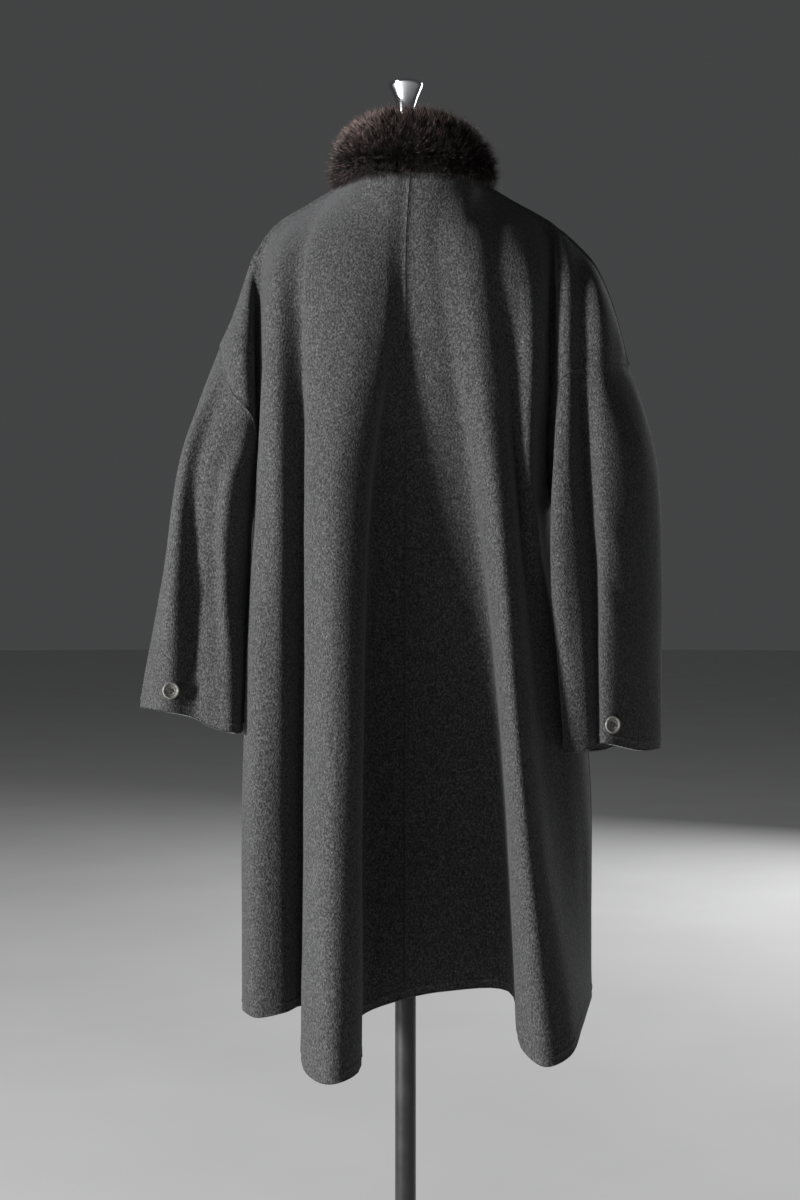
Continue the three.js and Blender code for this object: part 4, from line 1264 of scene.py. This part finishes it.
def fur_pieces():
    """Long hair rooted inside the collar's solid, in several pieces."""
    rng = np.random.default_rng(FUR["seed"])
    corners, areas, face_normals = collar_surface()
    material = hair_material()
    clump_at, _ = scattered(corners, areas, CLUMPS["count"], rng)
    clump_tone = rng.uniform(*CLUMPS["tone"], CLUMPS["count"])
    clump_turn = rng.normal(0, CLUMPS["turn"], (CLUMPS["count"], 3))
    for part in range(FUR["pieces"]):
        points, chosen = scattered(corners, areas, FUR["strands"], rng)
        count = len(points)
        normals = face_normals[chosen]
        nearest = nearest_of(points, clump_at)
        directions = hair_directions(points, normals, rng) + clump_turn[nearest]
        directions /= np.linalg.norm(directions, axis=1, keepdims=True)
        towards = (clump_at[nearest] - points) * CLUMPS["pull"]
        roots = points - normals * FUR["root_depth"]
        lengths = FUR["length"] + rng.normal(0, FUR["length_spread"], count)
        level = collar_level(points)
        lengths *= np.where(level < FUR["foot_level"], FUR["foot_share"], 1)
        widths = FUR["width"] * rng.uniform(*FUR["width_spread"], count)
        tones = np.clip(clump_tone[nearest] + rng.normal(0, FUR["tone_spread"], count), 0, 1)
        aimed = directions * lengths[:, None] + towards
        directions = aimed / np.linalg.norm(aimed, axis=1, keepdims=True)
        # More hairs get pale tips the higher they are on the collar: a painted rim light laid on the
        # hair's own pale tips.
        pale = rng.random(count) < np.interp(level, PALE_TIPS_AND_RIM_LIGHT["levels"], PALE_TIPS_AND_RIM_LIGHT["shares"])
        tips = np.where(pale, rng.uniform(*PALE_TIPS_AND_RIM_LIGHT["tip"], count), rng.uniform(*PALE_TIPS_AND_RIM_LIGHT["plain"], count))
        name = f"collar_hair_{part + 1}"
        piece = strand_mesh(name, roots, directions, normals, lengths, widths, tones, tips)
        finish_piece(piece, material, "fur")


def scattered(corners, areas, count, rng):
    """Points spread evenly over triangles, and the triangle of each."""
    chosen = rng.choice(len(areas), count, p=areas / areas.sum())
    a, b = rng.random(count), rng.random(count)
    over = a + b > 1
    a, b = np.where(over, 1 - a, a), np.where(over, 1 - b, b)
    first, second, third = (corners[chosen, k] for k in range(3))
    return first + a[:, None] * (second - first) + b[:, None] * (third - first), chosen


def nearest_of(points, others):
    """For each point, which of the others is nearest, worked out a block at a time."""
    block = 1000
    result = np.empty(len(points), int)
    for start in range(0, len(points), block):
        some = points[start:start + block]
        gaps = ((some[:, None] - others[None]) ** 2).sum(axis=2)
        result[start:start + block] = gaps.argmin(axis=1)
    return result


def underfur():
    """The dense hair at the roots: the collar's solid, drawn in and made uneven."""
    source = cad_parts["collar_fur"]
    piece = smooth_copy("collar_underfur", source, 2)
    normals = [vertex.normal.copy() for vertex in piece.data.vertices]
    for vertex, normal in zip(piece.data.vertices, normals):
        uneven = sum(noise.noise(vertex.co * scale) * height for scale, height in UNDERFUR["waves"])
        vertex.co += normal * (uneven - UNDERFUR["depth"]) * MM
    finish_piece(piece, underfur_material(), "fur", "collar_fur")


def smooth_copy(name, source, levels):
    """A copy of a CAD node's mesh, welded and subdivided."""
    mesh = source.data.copy()
    piece = bpy.data.objects.new(name, mesh)
    bpy.context.scene.collection.objects.link(piece)
    weld = piece.modifiers.new("weld", "WELD")
    weld.merge_threshold = 1e-5
    soften = piece.modifiers.new("soften", "SUBSURF")
    soften.levels = levels
    soften.render_levels = levels
    with bpy.context.temp_override(object=piece, active_object=piece):
        bpy.ops.object.modifier_apply(modifier="weld")
        bpy.ops.object.modifier_apply(modifier="soften")
    for polygon in piece.data.polygons:
        polygon.use_smooth = True
    piece.data.name = name
    return piece


# ---- form and stand ----------------------------------------------------------

FORM = {
    #            z, half width, front, back
    "bottom":    [FORM_BOTTOM_Z, 118, 98, 44],
    "hip":       [960, 124, 104, 48],
    "highHip":   [1010, 120, 100, 48],
    "waist":     [1062, 116, 98, 50],
    "ribs":      [1140, 128, 112, 62],
    "bust":      [1215, 140, 116, 74],
    "chest":     [1280, 148, 92, 76],
    "armpit":    [1335, 150, 62, 68],
    "shoulder":  [1376, 142, 30, 50],
    "slope":     [1399, 116, 24, 46],
    "neckRoot":  [1414, 84, 26, 46],
    "neckBase":  [1424, 58, 38, 46],
    "neck":      [1446, 48, 44, 46],
    "neckTop":   [NECK_TOP_Z, 46, 44, 46],
}
FORM_SIDES = 84
FORM_STEPS = 6
CAP_HEIGHT = 6
# Radius and height above its foot, up the knob.
KNOB = [
    (0, 0), (15, 0), (14.5, 2.5), (9.5, 7), (8, 17), (9.2, 30), (13, 44),
    (17.8, 56), (20.6, 62), (20.9, 64.5), (18.5, 66.5), (10, 68.2), (0, 68.5),
]


def form_piece():
    """The torso, through smooth sections between the rings of its solid."""
    rings = np.array(list(FORM.values()), float)
    fine = curve_at(rings, np.linspace(0, len(rings) - 1, (len(rings) - 1) * FORM_STEPS + 1))
    vertices = []
    for z, half_width, front, back in fine:
        for turn in range(FORM_SIDES):
            angle = 2 * math.pi * turn / FORM_SIDES
            depth = back if math.sin(angle) > 0 else front
            vertices.append((half_width * math.cos(angle), depth * math.sin(angle), z))
    piece = mesh_object("form_cover", np.array(vertices) * MM, ring_faces(len(fine), FORM_SIDES))
    finish_piece(piece, jersey_material(), "form_cover", "form_torso")


def stand_pieces():
    """The cap, knob, pole, socket and base, each turned about the pole's axis."""
    cap_foot = NECK_TOP_Z + SEAM_GAP
    cap_top = cap_foot + CAP_HEIGHT
    cap = lathe("neck_cap", rounded([
        (0, cap_foot), (45.5, cap_foot), (46, cap_foot + 3), (44, cap_top), (0, cap_top),
    ], 1.2))
    finish_piece(cap, black_material("cap_black", 0.42), "neck_cap", "form_neck_cap")
    foot = cap_top + SEAM_GAP
    knob = lathe("knob", rounded([(radius, foot + height) for radius, height in KNOB], 5, 5), 72)
    finish_piece(knob, chrome_material(), "knob", "form_knob")
    paint = black_material("stand_black", 0.38)
    floor_gap = BASE["thickness"] + SEAM_GAP
    top = FORM_BOTTOM_Z - SEAM_GAP
    pole = lathe("pole", rounded([
        (0, floor_gap), (POLE_RADIUS, floor_gap), (POLE_RADIUS, top), (0, top),
    ], 0.8))
    finish_piece(pole, paint, "stand", "stand_pole")
    collar_top = floor_gap + SOCKET["height"]
    socket = lathe("socket", rounded([
        (0, floor_gap), (SOCKET["radius"] + 6, floor_gap), (SOCKET["radius"], floor_gap + 6),
        (POLE_RADIUS + 4.5, collar_top - 2), (POLE_RADIUS + 3, collar_top), (0, collar_top),
    ], 1.5))
    finish_piece(socket, paint, "stand", "stand_socket")
    radius, thickness = BASE["radius"], BASE["thickness"]
    base = lathe("base", rounded([
        (0, 0), (radius - 1, 0), (radius, 1.2), (radius, thickness - 2.2),
        (radius - 2.5, thickness), (0, thickness),
    ], 0.8), 128)
    finish_piece(base, paint, "stand", "stand_base")


# ---- the coat ----------------------------------------------------------------


def make_cloth(sides, wool):
    """The six panels of the coat. Returns the outer points of each."""
    keys = [(side, part) for side in ("left", "right") for part in ("back", "front", "sleeve")]
    nets = [sides[side][0][part] for side, part in keys]
    normals = shared_normals(nets)
    borders = [inward_at_border(net) for net in nets]
    places = [{key: corner for key, corner in net.known.items() if corner in border}
              for net, border in zip(nets, borders)]
    outers = {}
    for own, (side, part) in enumerate(keys):
        others = set().union(*(set(p) for i, p in enumerate(places) if i != own))
        sewn = {corner for key, corner in places[own].items() if key in others}
        node = f"{part}_{side}"
        piece, outer = wall(f"cloth_{node}", nets[own], normals[own], borders[own], sewn)
        finish_piece(piece, wool, "wool", node)
        outers[(side, part)] = (outer, normals[own])
    return outers


def make_pocket(side, sides, outers, wool):
    """A patch pocket made from the points of the front, moved out. Returns its outer grid and normals."""
    _, index, grids = sides[side]
    first, last = POCKET["lines"]
    low, high = POCKET["levels"]
    columns = (grids["front_params"] >= first) & (grids["front_params"] <= last)
    rows = (BODY_LEVELS >= low - 1e-6) & (BODY_LEVELS <= high + 1e-6)
    places = index["front"][np.ix_(rows, columns)]
    outer, normals = outers[(side, "front")]
    surface = outer[places] + normals[places] * (CLOTH / 2 + SEAM_GAP)
    net = Net(side == "left")
    seam = np.full(surface.shape[:2], FAR)
    edges = np.minimum(np.minimum(*from_ends(surface, 0)), np.minimum(*from_ends(surface, 1)))
    net.add_grid(surface, seam, edges)
    border = inward_at_border(net)
    piece, _ = wall(f"cloth_pocket_{side}", net, shared_normals([net])[0], border, set())
    finish_piece(piece, wool, "wool", f"pocket_{side}")
    return surface + normals[places] * CLOTH / 2, normals[places]


def run_on(grid, normals, distances, distance, axis):
    """A line of stitches on a grid at one distance from its edge."""
    points = line_at(grid, distances, distance, axis)
    ups = line_at(normals, distances, distance, axis)
    return points, ups


def make_stitches(sides, outers, pockets, thread):
    """The topstitching along the hems, the cuffs, the front edges and round the pockets."""
    runs = []
    for side in ("left", "right"):
        _, index, _ = sides[side]
        for part in ("back", "front", "sleeve"):
            outer, normals = outers[(side, part)]
            grid, ups = outer[index[part]], normals[index[part]]
            _, below = from_ends(grid, 0)
            runs.append(run_on(grid, ups, below, HEM_TURN, 0))
            if part == "front":
                left, _ = from_ends(grid, 1)
                runs.append(run_on(grid, ups, left, HEM_TURN, 1))
        grid, ups = pockets[side]
        above, below = from_ends(grid, 0)
        left, right = from_ends(grid, 1)
        for distances, axis in ((above, 0), (below, 0), (left, 1), (right, 1)):
            runs.append(run_on(grid, ups, distances, EDGE_TURN, axis))
    piece = stitches("topstitching", runs)
    finish_piece(piece, thread, "wool")


def make_coat():
    """The cloth, its topstitching and its buttons."""
    backs = back_grids()
    sides = {
        "left": coat_side("left", backs, LEFT_LINES, list(BACK_LEFT), ARM_LEFT),
        "right": coat_side("right", backs, RIGHT_LINES, list(BACK_RIGHT), ARM_RIGHT),
    }
    wool = wool_material()
    outers = make_cloth(sides, wool)
    pockets = {side: make_pocket(side, sides, outers, wool) for side in sides}
    thread = thread_material()
    make_stitches(sides, outers, pockets, thread)
    horn = button_material()
    for side in sides:
        make_button(f"cuff_button_{side}", 1, horn, thread)
    for number in (1, 2, 3):
        make_button(f"front_button_{number}", -1, horn, thread)


# ---- floor, light and camera -------------------------------------------------


CAMERA = {"at": (0.0066, 2.0, 0.94), "lens": 50, "sensor_height": 36}
WORLD = {"colour": (0.8, 0.81, 0.83, 1), "strength": 0.07}
FLOOR_RADIUS = 30
# The place in metres, the power in watts and the width in metres of each lamp.
LAMPS = {"key": ((4.45, 2.75, 1.4), 560, 0.9), "front_fill": ((-2.2, -3.9, 2.2), 90, 2.2)}
LIT_POINT = Vector((0, 0, 1.0))


def add_lamp(name, place, power, size):
    """A round lamp that is aimed at the coat."""
    data = bpy.data.lights.new(name, "AREA")
    data.shape = "DISK"
    data.size = size
    data.energy = power
    lamp = bpy.data.objects.new(name, data)
    bpy.context.scene.collection.objects.link(lamp)
    lamp.location = place
    lamp.rotation_euler = (LIT_POINT - lamp.location).to_track_quat("-Z", "Y").to_euler()


def make_studio():
    """The floor, the grey surround and the lamps."""
    bpy.ops.mesh.primitive_circle_add(vertices=96, radius=FLOOR_RADIUS, fill_type="NGON")
    floor = bpy.context.object
    floor.name = "studio_floor"
    floor.data.materials.append(floor_material())
    world = bpy.data.worlds.new("studio")
    bpy.context.scene.world = world
    bpy.context.scene.view_settings.view_transform = "Standard"
    world.use_nodes = True
    background = world.node_tree.nodes["Background"]
    background.inputs["Color"].default_value = WORLD["colour"]
    background.inputs["Strength"].default_value = WORLD["strength"]
    for name, (place, power, size) in LAMPS.items():
        add_lamp(name, place, power, size)


def make_camera():
    """The photo's camera: behind the coat, and level."""
    data = bpy.data.cameras.new("camera")
    data.sensor_fit = "VERTICAL"
    data.sensor_height = CAMERA["sensor_height"]
    data.lens = CAMERA["lens"]
    camera = bpy.data.objects.new("camera", data)
    bpy.context.scene.collection.objects.link(camera)
    camera.location = CAMERA["at"]
    camera.rotation_euler = (math.pi / 2, 0, math.pi)
    bpy.context.scene.camera = camera


make_camera()
form_piece()
stand_pieces()
make_coat()
underfur()
fur_pieces()
make_studio()
